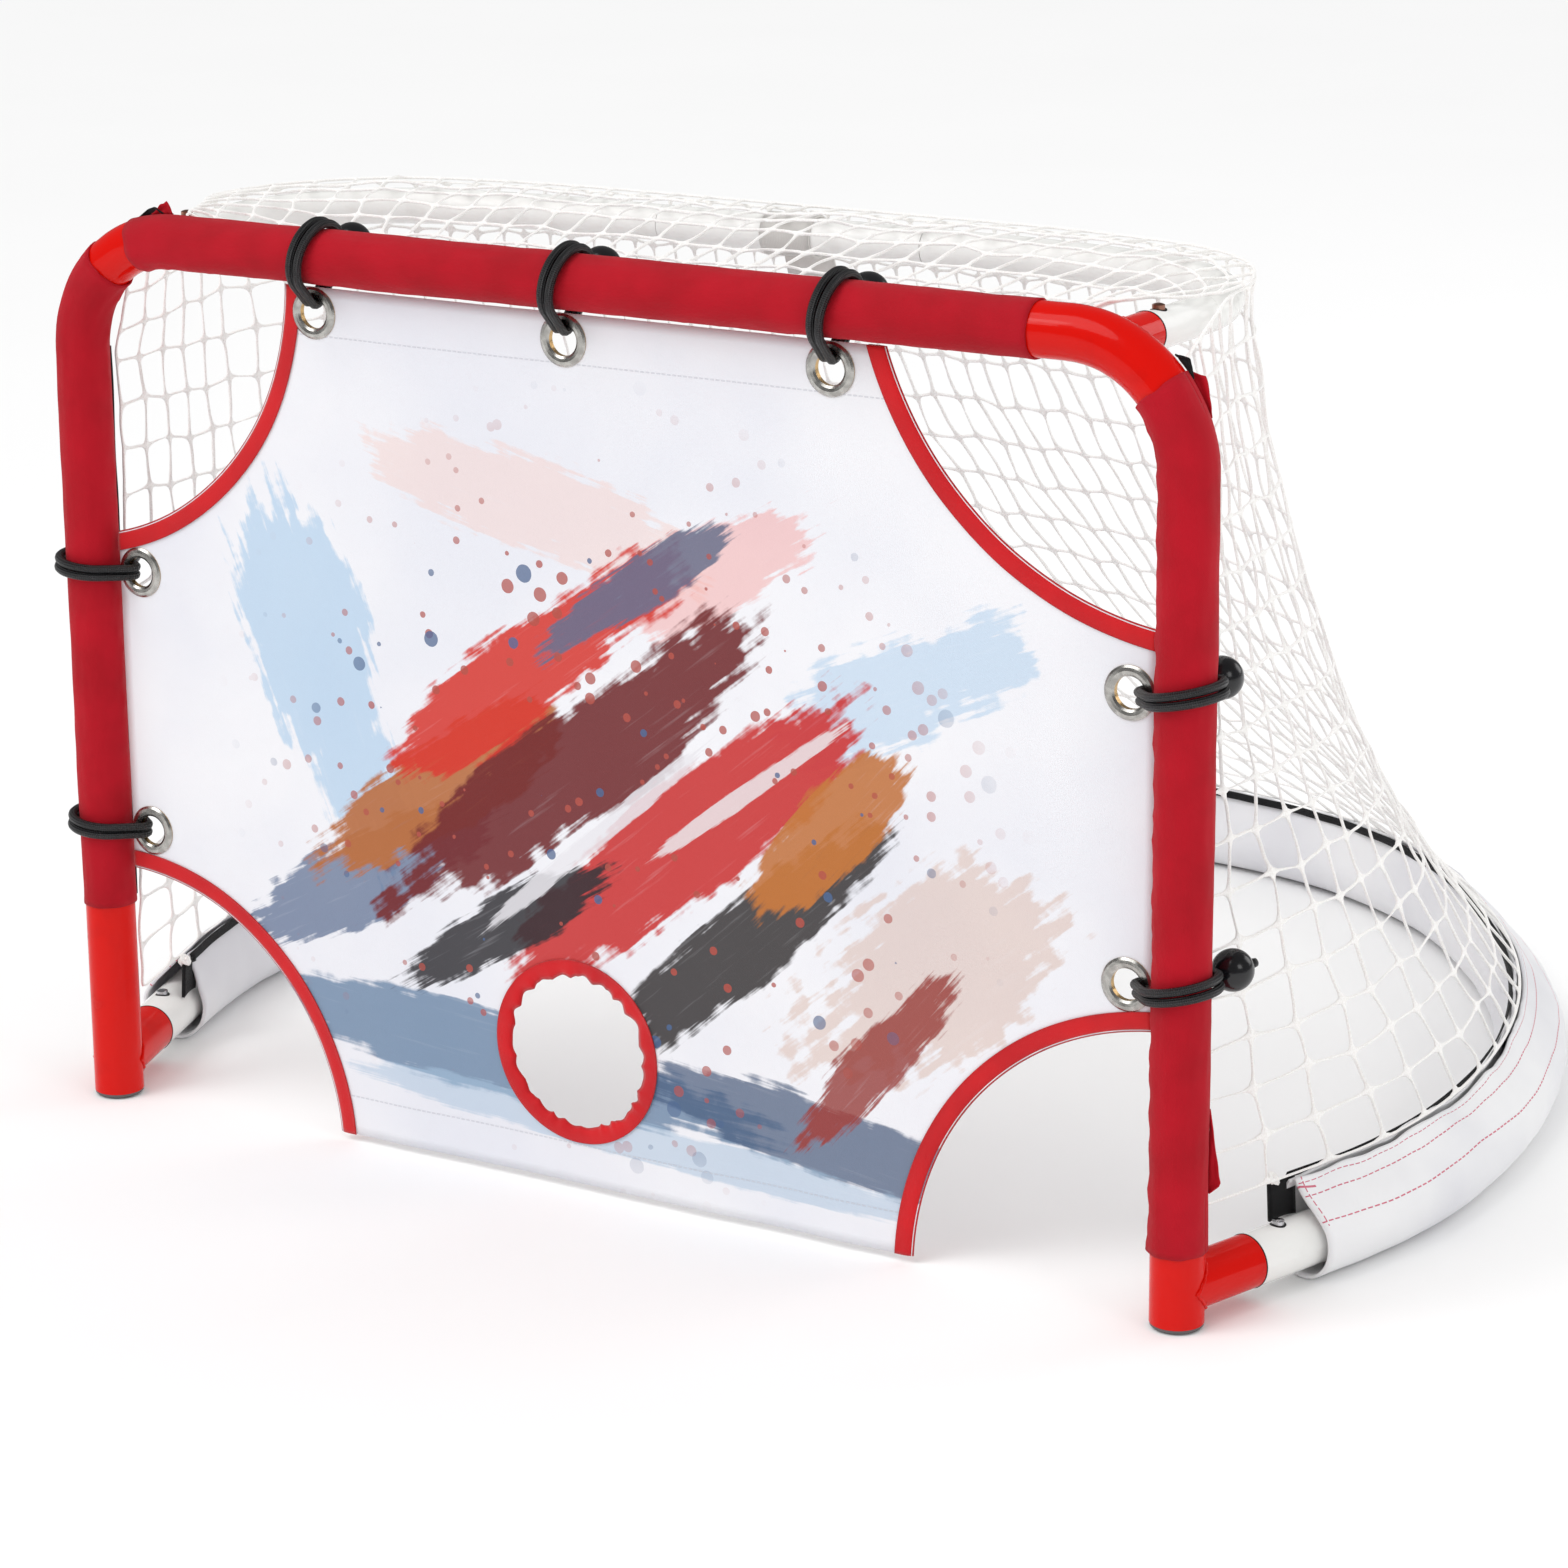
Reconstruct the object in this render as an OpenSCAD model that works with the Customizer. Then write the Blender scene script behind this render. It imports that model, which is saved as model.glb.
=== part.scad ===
// Small hockey goal with a tied-on shooting target. Millimetres, +Z up, the mouth faces -Y.
// The origin is on the floor, under the middle of the whole goal.

/* [Front frame] */
// Distance between the axes of the two posts
goal_w = 840; // [780:10:1000]
// Height of the crossbar's axis above the floor
goal_h = 620; // [580:10:700]
// Outer diameter of the frame's steel tube
frame_d = 35; // [32:0.5:38]
// Wall of the frame's tube
frame_wall = 1.6; // [1.2:0.1:2.5]
// Centreline radius of the two top corners
corner_r = 80; // [70:5:100]
// Thickness of the plastic cap under each post
foot_t = 3; // [2:0.5:6]
// Depth of the cap's plug inside the post
foot_plug = 14; // [8:1:18]

/* [Base] */
// Height of the base tube's axis above the floor
base_z = 25; // [22:0.5:30]
// Outer diameter of the base tube and of the stubs that carry it
base_d = 35; // [30:0.5:36]
// Wall of the base tube
base_wall = 1.6; // [1.2:0.1:2.5]
// Distance of the rear of the base behind the posts
base_reach = 880; // [840:10:920]
// How far the base stands out past each post at its widest
base_bulge = 68; // [60:1:76]
// Distance behind the posts where the base is widest
base_widest = 285; // [270:5:305]
// Angle at which the base leaves each post, outwards
base_flare = 18; // [16:0.5:20]
// Length of the welded stub, from the post's axis
base_stub = 63; // [50:1:70]
// Straight part of the side tube that takes the rear tube's end
base_joint = 50; // [45:1:60]

/* [Top bow] */
// Outer diameter of the bow's tube
bow_d = 25.4; // [22:0.2:28]
// Wall of the bow's tube
bow_wall = 1.5; // [1:0.1:2]
// Distance of the bow's rear behind the crossbar
bow_reach = 248; // [230:2:280]
// Distance of each top stub inside its post
top_stub_in = 52; // [48:1:60]
// Outer diameter of the top stub
top_stub_d = 27; // [26:0.2:30]
// Length of the top stub, from the crossbar's axis
top_stub = 42; // [36:1:50]
// Angle at which the bow leaves the crossbar, outwards
bow_flare = 2; // [0:1:5]
// Centreline radius of the bow's rear corners
bow_corner_r = 120; // [100:5:125]
// Half the length of the bow's middle tube
bow_middle = 104; // [90:2:120]
// Straight part of the side tube that takes the middle tube's end
bow_joint = 45; // [42:1:60]

/* [Plug joints] */
// How far a spigot or a swaged end reaches into its tube
plug_reach = 38; // [34:1:40]
// How far a spigot reaches back into its stub
spigot_root = 24; // [18:1:26]
// Radial clearance of a plug in its tube
plug_gap = 0.2; // [0.1:0.05:0.3]
// Gap left between two tube ends that meet
seam_gap = 0.6; // [0.2:0.1:1]

/* [Snap buttons] */
// Diameter of a button
button_d = 8; // [6:0.5:9]
// How far a button stands out of its tube
button_proud = 3.5; // [2:0.5:4]
// Radial clearance of a button in its holes
button_gap = 0.35; // [0.3:0.05:0.5]
// Distance of a base button past the end of its stub
base_button_at = 28; // [24:1:30]
// Distance of a top button past the end of its stub
top_button_at = 15; // [12:1:20]
// Thickness of a button's leaf spring
leaf_t = 0.8; // [0.6:0.1:1]
// Width of a button's leaf spring
leaf_w = 7; // [5:0.5:8]

/* [Fabric covers] */
// Thickness of the fabric sleeve round the frame
sleeve_t = 1.8; // [1.2:0.1:3]
// Clearance of the sleeve round the tube
sleeve_gap = 0.15; // [0.1:0.05:0.4]
// Distance from the right post to where the crossbar sleeve ends
bar_sleeve_gap = 101; // [95:1:115]
// Angle that the crossbar sleeve reaches into the left bend
bar_sleeve_turn = 28; // [24:1:34]
// Angle into the bend at which each post sleeve starts
post_sleeve_turn = [54, 50];
// Height of the lower end of the left post sleeve
left_sleeve_end = 143; // [110:1:150]
// Height of the lower end of the right post sleeve
right_sleeve_end = 50; // [46:1:70]
// Width of the hook and loop strip that closes a sleeve
strip_w = 16; // [10:1:20]
// Thickness of a hook and loop strip
strip_t = 1.3; // [0.8:0.1:2]
// Thickness of the padding round the base tube
skirt_pad = 7.6; // [7:0.1:9]
// Height of the skirt's upper edge above the floor
skirt_top = 66; // [60:1:75]
// Thickness of the skirt's upper edge
skirt_edge = 8; // [6:0.5:10]
// How far that edge leans inwards, where the net pulls it
skirt_lean = 9; // [4:1:11]
// Length of base tube that the skirt leaves bare, from the post's axis
skirt_start = 113; // [108:1:118]
// Width of the strap down the middle of the back
strap_w = 39; // [25:1:50]
// Thickness of the strap
strap_t = 2; // [1.2:0.1:3]

/* [Target sheet] */
// Thickness of the target sheet
sheet_t = 1.6; // [1:0.1:2.5]
// Distance of the sheet's middle plane behind the frame's axis
sheet_y = 4; // [3:0.5:6]
// Gap between the sheet and the sleeves
sheet_gap = 2; // [1.5:0.25:4]
// Height of the sheet's lower edge above the floor
sheet_low = 5; // [3:1:20]
// Radii of the upper left and upper right cut-outs
top_cut_radii = [200, 229];
// Radii of the lower left and lower right cut-outs
low_cut_radii = [179, 193];
// How far the tied sheet's upper half is pulled to the left
sheet_pull = 21; // [0:1:24]
// How much lower the left side of the sheet hangs than the middle
sheet_drop = 8; // [0:1:10]
// Radius of the hole low in the middle
five_hole_r = 52; // [40:1:56]
// Height of that hole's centre
five_hole_z = 99; // [90:1:110]
// Width of the binding tape
binding_w = 13; // [8:1:16]
// Thickness of the binding tape on each face
binding_t = 1; // [0.6:0.1:1.5]

/* [Eyelets and bungees] */
// Radius of an eyelet's hole
eyelet_hole = 10.5; // [9:0.5:11]
// Radius of an eyelet's flange
eyelet_r = 17.5; // [16:0.5:18]
// Height of an eyelet's flange above the sheet
eyelet_t = 2; // [1.5:0.1:2.5]
// Distance from the posts to the outer eyelets of the top row, before the sheet is pulled
eyelet_inset = 222; // [215:1:230]
// Heights of the lower and the upper eyelet at each side
eyelet_rows = [208, 394];
// Diameter of the bungee's elastic cord
bungee_d = 5; // [4:0.5:5.5]
// Diameter of a bungee's ball
ball_d = 27; // [22:1:30]
// Slant of a bungee's loops on the tube
loop_slant = 12; // [0:1:14]

/* [Net] */
// Diameter of the net's cord
net_cord = 3; // [2:0.5:4]
// How the net hangs before it spreads: 1 is a straight slope, more is steeper at the top
net_fall = 1.6; // [1.2:0.1:2]
// Gap between the net and what it is laced to
net_gap = 0.4; // [0.2:0.1:1]

/* [Hidden] */
$fn = 48;

frame_r = frame_d / 2;
sleeve_r = frame_r + sleeve_gap + sleeve_t;
base_r = base_d / 2;
base_bore = base_r - base_wall;
bow_r = bow_d / 2;
bow_bore = bow_r - bow_wall;
top_stub_x = goal_w / 2 - top_stub_in;
bar_sleeve_end = goal_w / 2 - bar_sleeve_gap;
skirt_r = base_r + skirt_pad;
bow_z = goal_h - corner_r + sqrt(pow(corner_r, 2) - pow(top_stub_x - goal_w / 2 + corner_r, 2));
cord_r = bungee_d / 2;
ball_r = ball_d / 2;

// Routes in plan are lists of [straight, turn, bend radius], from the middle of the rear round to the right.
bow_ease = 10;
bow_ease_r = 600;
bow_turn = 90 + bow_flare - bow_ease;
// What the two straight parts of the bow still have to cover after its bends
bow_rest = [top_stub_x - bow_middle - bow_joint - bow_ease_r * sin(bow_ease)
        - bow_corner_r * (cos(bow_flare) - sin(bow_ease)),
    bow_reach - bow_ease_r * (1 - cos(bow_ease)) - bow_corner_r * (sin(bow_flare) + cos(bow_ease))];
bow_run = (bow_rest[0] * cos(bow_flare) + bow_rest[1] * sin(bow_flare)) / cos(bow_ease - bow_flare);
bow_leg = (bow_rest[1] - bow_run * sin(bow_ease)) / cos(bow_flare);
bow_side = [[bow_joint, bow_ease, bow_ease_r], [bow_run, bow_turn, bow_corner_r]];

rear_turn = 52;
side_turn = 90 - rear_turn;
base_half = goal_w / 2 + base_bulge;
// A short straight in the middle of the rear, and one at the widest point
base_link = 4;
// The radii of the rear and side arcs follow from the widest point
base_a = base_half - base_link - base_joint * cos(rear_turn);
base_b = base_reach - base_widest - base_joint * sin(rear_turn);
side_r = (base_b * sin(rear_turn) - base_a * (1 - cos(rear_turn)))
    / (sin(rear_turn) * cos(rear_turn) - (1 - sin(rear_turn)) * (1 - cos(rear_turn)));
rear_r = (base_a - side_r * (1 - sin(rear_turn))) / sin(rear_turn);
// The front arc, and the straight part that ends on the post's axis
front_y = base_widest - base_link;
front_r = (base_bulge * cos(base_flare) - front_y * sin(base_flare)) / (cos(base_flare) - 1);
base_leg = (front_y - front_r * sin(base_flare)) / cos(base_flare);
base_side = [[base_joint, side_turn, side_r], [base_link, base_flare, front_r]];
base_half_route = concat([[base_link, rear_turn, rear_r]], base_side);

eyelet_reach = sleeve_r + sheet_gap + eyelet_r;
eyelet_shift = sheet_pull + 5;
eyelet_pitch = goal_w / 2 - eyelet_inset;
sheet_half = goal_w / 2 - sleeve_r - sheet_gap;
sheet_top = goal_h - sleeve_r - sheet_gap;
// The cord turns through an eyelet at this radius, and lies on a sleeve at the other
wrap_r = eyelet_t + sheet_t / 2 + cord_r + 0.3;
loop_r = sleeve_r + strip_t + cord_r + 0.3;
loop_reach = loop_r + cord_r;
// The whole goal is moved so that the origin is under its middle
shift_y = -(base_reach + skirt_r - loop_reach) / 2;

// Straight parts of a sweep reach into its bends, a hair thinner, so that they join cleanly
lap = 0.5;
hair = 0.1;
$thin = 0;

// ---------------------------------------------------------------- helpers

module in_place() {
    translate([0, shift_y, 0]) children();
}

module mirrored() {
    mirror([1, 0, 0]) children();
}

module both_sides() {
    children();
    mirrored() children();
}

module ring(outer, inner) {
    difference() {
        circle(outer);
        circle(inner);
    }
}

// Draws a profile along a route in plan; the profile's x is the outside of the turns
module sweep(route, first = true) {
    if (len(route) > 0) {
        leg = route[0][0];
        turn = route[0][1];
        bend = route[0][2];
        before = first ? 0 : lap;
        after = turn > 0 ? lap : 0;
        if (leg > 0) {
            translate([-before, 0, 0]) rotate([90, 0, 90]) linear_extrude(before + leg + after)
                let ($thin = hair) children();
        }
        translate([leg, 0, 0]) {
            if (turn > 0) {
                translate([0, -bend, 0]) rotate([0, 0, 90 - turn])
                    rotate_extrude(angle = turn, $fn = 96) translate([bend, 0]) children();
            }
            translate([bend * sin(turn), -bend * (1 - cos(turn)), 0]) rotate([0, 0, -turn])
                sweep([for (i = [1:1:len(route) - 1]) route[i]], false) children();
        }
    }
}

// A tube's section for a sweep
module tube_ring(outer, inner) {
    ring(outer - $thin, inner + $thin);
}

// The plan point beside a route, a distance out from it, after a length s
function along(route, s, out = 0, i = 0, at = [0, 0], head = 0) =
    i >= len(route) ? at + out * [sin(head), cos(head)] :
    let (leg = route[i][0], turn = route[i][1], bend = route[i][2], arc = bend * turn * PI / 180)
    s <= leg ? at + s * [cos(head), -sin(head)] + out * [sin(head), cos(head)] :
    let (knee = at + leg * [cos(head), -sin(head)], part = min(turn, (s - leg) / max(bend, 0.01) * 180 / PI),
        next = knee + bend * [sin(head + part) - sin(head), cos(head + part) - cos(head)])
    s <= leg + arc ? next + out * [sin(head + part), cos(head + part)] :
    along(route, s - leg - arc, out, i + 1, next, head + turn);

function route_length(route, i = 0) =
    i >= len(route) ? 0 : route[i][0] + route[i][2] * route[i][1] * PI / 180 + route_length(route, i + 1);

// Turns a plan drawing upright, so that its y is the height
module upright() {
    rotate([90, 0, 0]) children();
}

// ---------------------------------------------------------------- front frame

module frame_sweep(low) {
    upright() translate([-goal_w / 2, low, 0]) rotate([0, 0, 90])
        sweep([[goal_h - corner_r - low, 90, corner_r], [goal_w - 2 * corner_r, 90, corner_r],
            [goal_h - corner_r - low, 0, 0]]) children();
}

module at_base_stub() {
    translate([goal_w / 2, 0, base_z]) rotate([0, 0, -base_flare]) rotate([-90, 0, 0]) children();
}

module at_top_stub() {
    translate([top_stub_x, 0, bow_z]) rotate([0, 0, -bow_flare]) rotate([-90, 0, 0]) children();
}

module front_frame() color("crimson") in_place() difference() {
    union() {
        frame_sweep(foot_t) circle(frame_r - $thin);
        both_sides() at_base_stub() cylinder(h = base_stub, r = base_r);
        both_sides() at_top_stub() cylinder(h = top_stub, d = top_stub_d);
    }
    frame_sweep(foot_t - 1) circle(frame_r - frame_wall - $thin);
    both_sides() at_base_stub() translate([0, 0, frame_r + 2]) cylinder(h = base_stub, r = base_bore);
    both_sides() at_top_stub() translate([0, 0, frame_r - 1]) cylinder(h = top_stub, r = bow_bore);
}

module post_foot() {
    plug_r = frame_r - frame_wall - 0.1;
    translate([goal_w / 2, 0, 0]) rotate_extrude()
        polygon([[0, 0], [frame_r - 2, 0], [frame_r - 0.5, foot_t / 2], [frame_r - 0.5, foot_t],
            [plug_r, foot_t], [plug_r, foot_plug - 2], [plug_r - 2, foot_plug],
            [plug_r - 4, foot_plug], [plug_r - 4, foot_t], [0, foot_t]]);
}

module right_post_foot() color("dimgray") in_place() post_foot();
module left_post_foot() color("dimgray") in_place() mirrored() post_foot();

// ---------------------------------------------------------------- spigots and snap buttons

base_pin = goal_w / 2 * [1, 0] + (base_stub + base_button_at) * [sin(base_flare), cos(base_flare)];
top_pin = top_stub_x * [1, 0] + (top_stub + top_button_at) * [sin(bow_flare), cos(bow_flare)];

module at_base_pin() {
    translate([base_pin[0], base_pin[1], base_z]) rotate([0, 0, -base_flare]) children();
}

module at_top_pin() {
    translate([top_pin[0], top_pin[1], bow_z]) rotate([0, 0, -bow_flare]) children();
}

module spigot_tube(stub, bore) {
    translate([0, 0, stub - spigot_root]) difference() {
        cylinder(h = spigot_root + plug_reach, r = bore - plug_gap);
        translate([0, 0, -1]) cylinder(h = spigot_root + plug_reach + 2, r = bore - plug_gap - base_wall);
    }
}

module button_hole(tube_r) {
    cylinder(h = tube_r + 2, r = button_d / 2 + button_gap);
}

module base_spigot() difference() {
    at_base_stub() spigot_tube(base_stub, base_bore);
    at_base_pin() button_hole(base_r);
}

module top_spigot() difference() {
    at_top_stub() spigot_tube(top_stub, bow_bore);
    at_top_pin() button_hole(bow_r);
}

module right_base_spigot() color("silver") in_place() base_spigot();
module left_base_spigot() color("silver") in_place() mirrored() base_spigot();
module right_top_spigot() color("silver") in_place() top_spigot();
module left_top_spigot() color("silver") in_place() mirrored() top_spigot();

// A collar under the wall keeps the button in; its top is a shallow dome
function collar_r() = button_d / 2 + 1.6;
function collar_top(inside) = sqrt(pow(inside, 2) - pow(collar_r(), 2)) - 0.3;

module snap_button(inside, tube_r) rotate([0, 0, 30]) {
    top = tube_r + button_proud;
    under = collar_top(inside) - 1.5;
    translate([0, 0, under]) cylinder(h = 1.5, r = collar_r());
    intersection() {
        translate([0, 0, under]) cylinder(h = top - under, d = button_d);
        translate([0, 0, top - button_d]) sphere(button_d);
    }
}

module leaf(from, to) {
    run = to - from;
    translate(from) rotate(atan2(run[1], run[0])) translate([0, -leaf_t / 2]) square([norm(run), leaf_t]);
}

// A V of spring steel: the apex points back into the stub, and the two tips spread
module leaf_spring(inside) {
    apex = [-spigot_root, 0];
    high = [3, collar_top(inside) - 1.5 - leaf_t];
    low = [3, 0.4 + leaf_t / 2 - sqrt(pow(inside, 2) - pow(leaf_w / 2, 2))];
    rotate([90, 0, 90]) translate([0, 0, -leaf_w / 2]) linear_extrude(leaf_w) {
        leaf(apex, high);
        leaf(apex, low);
        leaf(high, high + [4, 0]);
        translate(apex) circle(leaf_t);
        translate(high) circle(0.6 * leaf_t);
    }
}

base_inside = base_bore - plug_gap - base_wall;
top_inside = bow_bore - plug_gap - base_wall;

module base_button() at_base_pin() snap_button(base_inside, base_r);
module top_button() at_top_pin() snap_button(top_inside, bow_r);
module base_spring() at_base_pin() leaf_spring(base_inside);
module top_spring() at_top_pin() leaf_spring(top_inside);

module right_base_button() color("lightgray") in_place() base_button();
module left_base_button() color("lightgray") in_place() mirrored() base_button();
module right_top_button() color("lightgray") in_place() top_button();
module left_top_button() color("lightgray") in_place() mirrored() top_button();
module right_base_spring() color("slategray") in_place() base_spring();
module left_base_spring() color("slategray") in_place() mirrored() base_spring();
module right_top_spring() color("slategray") in_place() top_spring();
module left_top_spring() color("slategray") in_place() mirrored() top_spring();

// ---------------------------------------------------------------- bow and base tubes

module bow_tube() difference() {
    translate([bow_middle + seam_gap / 2, bow_reach, bow_z])
        sweep([[bow_joint - seam_gap / 2, bow_ease, bow_ease_r], [bow_run, bow_turn, bow_corner_r],
            [bow_leg - top_stub - seam_gap, 0, 0]]) tube_ring(bow_r, bow_bore);
    at_top_pin() button_hole(bow_r);
}

module right_bow_tube() color("white") in_place() bow_tube();
module left_bow_tube() color("white") in_place() mirrored() bow_tube();

module middle_bow_tube() color("white") in_place() translate([0, bow_reach, bow_z]) rotate([0, 90, 0])
    difference() {
        union() {
            cylinder(h = 2 * bow_middle - seam_gap, r = bow_r, center = true);
            cylinder(h = 2 * (bow_middle + plug_reach), r = bow_bore - plug_gap, center = true);
        }
        cylinder(h = 3 * bow_middle, r = bow_bore - plug_gap - bow_wall, center = true);
    }

module at_rear_joint() {
    translate([base_link + rear_r * sin(rear_turn), base_reach - rear_r * (1 - cos(rear_turn)), base_z])
        rotate([0, 0, -rear_turn]) children();
}

module base_tube() difference() {
    at_rear_joint() translate([seam_gap, 0, 0])
        sweep([[base_joint - seam_gap, side_turn, side_r], [base_link, base_flare, front_r],
            [base_leg - base_stub - seam_gap, 0, 0]]) tube_ring(base_r, base_bore);
    at_base_pin() button_hole(base_r);
}

module right_base_tube() color("white") in_place() base_tube();
module left_base_tube() color("white") in_place() mirrored() base_tube();

module rear_base_tube() color("white") in_place() {
    swage_r = base_bore - plug_gap;
    both_sides() {
        translate([0, base_reach, base_z]) sweep([[base_link, rear_turn, rear_r]])
            tube_ring(base_r, swage_r - base_wall);
        at_rear_joint() sweep([[plug_reach, 0, 0]], false) tube_ring(swage_r, swage_r - base_wall);
    }
}

// ---------------------------------------------------------------- fabric covers

// The profile of a cover whose front faces the profile's +y
module bar_half(length) {
    upright() translate([0, goal_h, 0]) sweep([[length, 0, 0]]) children();
}

module crossbar_cover() {
    bar_half(bar_sleeve_end) children();
    mirrored() upright() translate([0, goal_h, 0])
        sweep([[goal_w / 2 - corner_r, bar_sleeve_turn, corner_r]]) children();
}

module post_cover(bend_from, low) {
    upright() translate([goal_w / 2 - corner_r, goal_h - corner_r, 0])
        translate(corner_r * [sin(bend_from), cos(bend_from)]) rotate([0, 0, -bend_from])
            sweep([[0, 90 - bend_from, corner_r], [goal_h - corner_r - low, 0, 0]]) children();
}

module sleeve_profile() tube_ring(sleeve_r, sleeve_r - sleeve_t);

module strip_profile() intersection() {
    ring(sleeve_r + strip_t, sleeve_r);
    translate([-strip_w / 2, -2 * sleeve_r]) square([strip_w, 2 * sleeve_r]);
}

// The left bend's stub comes out through a notch
module crossbar_sleeve() color("firebrick") in_place() difference() {
    crossbar_cover() sleeve_profile();
    mirrored() at_top_stub() translate([0, 0, frame_r / 2]) cylinder(h = frame_r, d = top_stub_d + 1);
}

module right_post_sleeve() color("firebrick") in_place()
    post_cover(post_sleeve_turn[1], right_sleeve_end) sleeve_profile();
module left_post_sleeve() color("firebrick") in_place()
    mirrored() post_cover(post_sleeve_turn[0], left_sleeve_end) sleeve_profile();
module crossbar_strip() color("black") in_place() bar_half(bar_sleeve_end) strip_profile();
module right_post_strip() color("black") in_place() post_cover(90, right_sleeve_end) strip_profile();
module left_post_strip() color("black") in_place() mirrored() post_cover(90, left_sleeve_end) strip_profile();

skirt_route = concat(base_half_route, [[base_leg - skirt_start, 0, 0]]);

module skirt_sweep() {
    both_sides() translate([0, base_reach, base_z]) sweep(skirt_route) children();
}

// The two sides of the standing edge: side is 1 outside and -1 inside, and each starts on the padding
function skirt_tip(side, thin = 0) = [side * (skirt_edge / 2 - thin) - skirt_lean, skirt_top - base_z - thin];
function skirt_foot(side, thin = 0) =
    let (tip = skirt_tip(side, thin),
        angle = atan2(tip[1], tip[0]) - side * acos((skirt_r - thin) / norm(tip)))
    (skirt_r - thin - 1) * [cos(angle), sin(angle)];

// The inner side's distance from the tube's axis at a height above it
function skirt_inside(h) = let (tip = skirt_tip(-1), foot = skirt_foot(-1))
    tip[0] + (h - tip[1]) * (tip[0] - foot[0]) / (tip[1] - foot[1]);

// A pocket round the tube that closes to a standing edge, flat where it lies on the floor
module skirt_profile() {
    intersection() {
        difference() {
            union() {
                circle(skirt_r - $thin);
                polygon([skirt_foot(1, $thin), skirt_tip(1, $thin),
                    skirt_tip(-1, $thin), skirt_foot(-1, $thin)]);
            }
            circle(base_r + 0.2 + $thin);
        }
        translate([-2 * skirt_r, -base_z]) square([4 * skirt_r, skirt_top + 1]);
    }
}

module base_skirt() color("whitesmoke") in_place() skirt_sweep() skirt_profile();

skirt_strip_h = 8;
skirt_strip_gap = 0.3;

// The strip leans with the inner side of the standing edge and ends flush with its top
module skirt_strip() color("black") in_place() skirt_sweep() {
    high = skirt_top - base_z - $thin;
    low = high - skirt_strip_h + 2 * $thin;
    near = -skirt_strip_gap - $thin;
    far = -skirt_strip_gap - strip_t + $thin;
    polygon([[skirt_inside(low) + near, low], [skirt_inside(high) + near, high],
        [skirt_inside(high) + far, high], [skirt_inside(low) + far, low]]);
}

// The strap is wound on the bow, follows the net inside it, and is held behind the skirt's edge
function ribbon_side(path, out) = [for (i = [0:len(path) - 1])
    let (run = path[min(i + 1, len(path) - 1)] - path[max(i - 1, 0)]) path[i] + out * [-run[1], run[0]] / norm(run)];

// The strap's tail hangs inside the net; this is its share of the net's height
strap_tail = 0.1;

module centre_strap() color("gainsboro") in_place() {
    wound = bow_r + strap_gap;
    path = concat(
        [[bow_reach, bow_z] + (wound + strap_t / 2) * [cos(strap_leave), sin(strap_leave)]],
        [for (v = strap_tail * [0.5, 0.75, 1]) let (p = back_point(0, v)
            - (net_cord + 1 + strap_t / 2) * back_normal(0, v)) [p[1], p[2]]]);
    rotate([90, 0, 90]) translate([0, 0, -strap_w / 2]) linear_extrude(strap_w) difference() {
        union() {
            translate([bow_reach, bow_z]) circle(wound + strap_t);
            polygon(concat(ribbon_side(path, strap_t / 2), [for (i = [len(path) - 1:-1:0])
                ribbon_side(path, -strap_t / 2)[i]]));
        }
        translate([bow_reach, bow_z]) circle(wound);
    }
}

// ---------------------------------------------------------------- target sheet

// Corner cut-outs: side is -1 or 1, and up is 0 or 1. Each centre stands off the sheet's corner by this much
top_cut_shift = [[-48, 8], [30, 71]];
low_cut_shift = [[-5, -13], [23, -8]];
function pick(side) = side < 0 ? 0 : 1;
function cut_r(side, up) = (up == 1 ? top_cut_radii : low_cut_radii)[pick(side)];
function cut_centre(side, up) =
    [side * sheet_half, up == 1 ? sheet_top : sheet_low]
        + (up == 1 ? top_cut_shift : low_cut_shift)[pick(side)];
five_hole = [-sheet_pull - 6, five_hole_z];

eyelet_points = concat(
    [for (i = [-1:1]) [i * eyelet_pitch - eyelet_shift, goal_h - eyelet_reach]],
    [for (side = [-1, 1], z = eyelet_rows) [side * (goal_w / 2 - eyelet_reach), z + side * sheet_drop]]);

module hung(depth) {
    translate([0, sheet_y, 0]) upright() translate([0, 0, -depth / 2]) linear_extrude(depth) children();
}

module sheet_area() {
    translate([-sheet_half, sheet_low]) square([2 * sheet_half, sheet_top - sheet_low]);
}

module target_sheet() color("ghostwhite") in_place() hung(sheet_t) difference() {
    sheet_area();
    for (side = [-1, 1]) {
        translate(cut_centre(side, 1)) circle(cut_r(side, 1), $fn = 96);
        translate(cut_centre(side, 0)) circle(cut_r(side, 0), $fn = 96);
    }
    translate(five_hole) circle(five_hole_r);
    for (p = eyelet_points) translate(p) circle(eyelet_hole + 1.1);
}

// A tape folded over an edge of radius r, with the sheet between its two faces
module folded_tape(r) {
    difference() {
        hung(sheet_t + 2 * binding_t) ring(r + binding_w, r - 1, $fn = 96);
        hung(sheet_t) ring(r + binding_w + 1, r, $fn = 96);
    }
}

// A corner's tape ends at the sheet's edges, and is cut away round an eyelet
module corner_binding(side, up) {
    centre = cut_centre(side, up);
    difference() {
        intersection() {
            translate([centre[0], 0, centre[1]]) folded_tape(cut_r(side, up));
            hung(4 * sheet_t + 4 * binding_t) sheet_area();
        }
        hung(8 * sheet_t + 8 * binding_t) for (p = eyelet_points) translate(p) circle(eyelet_r + 0.5);
    }
}

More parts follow.
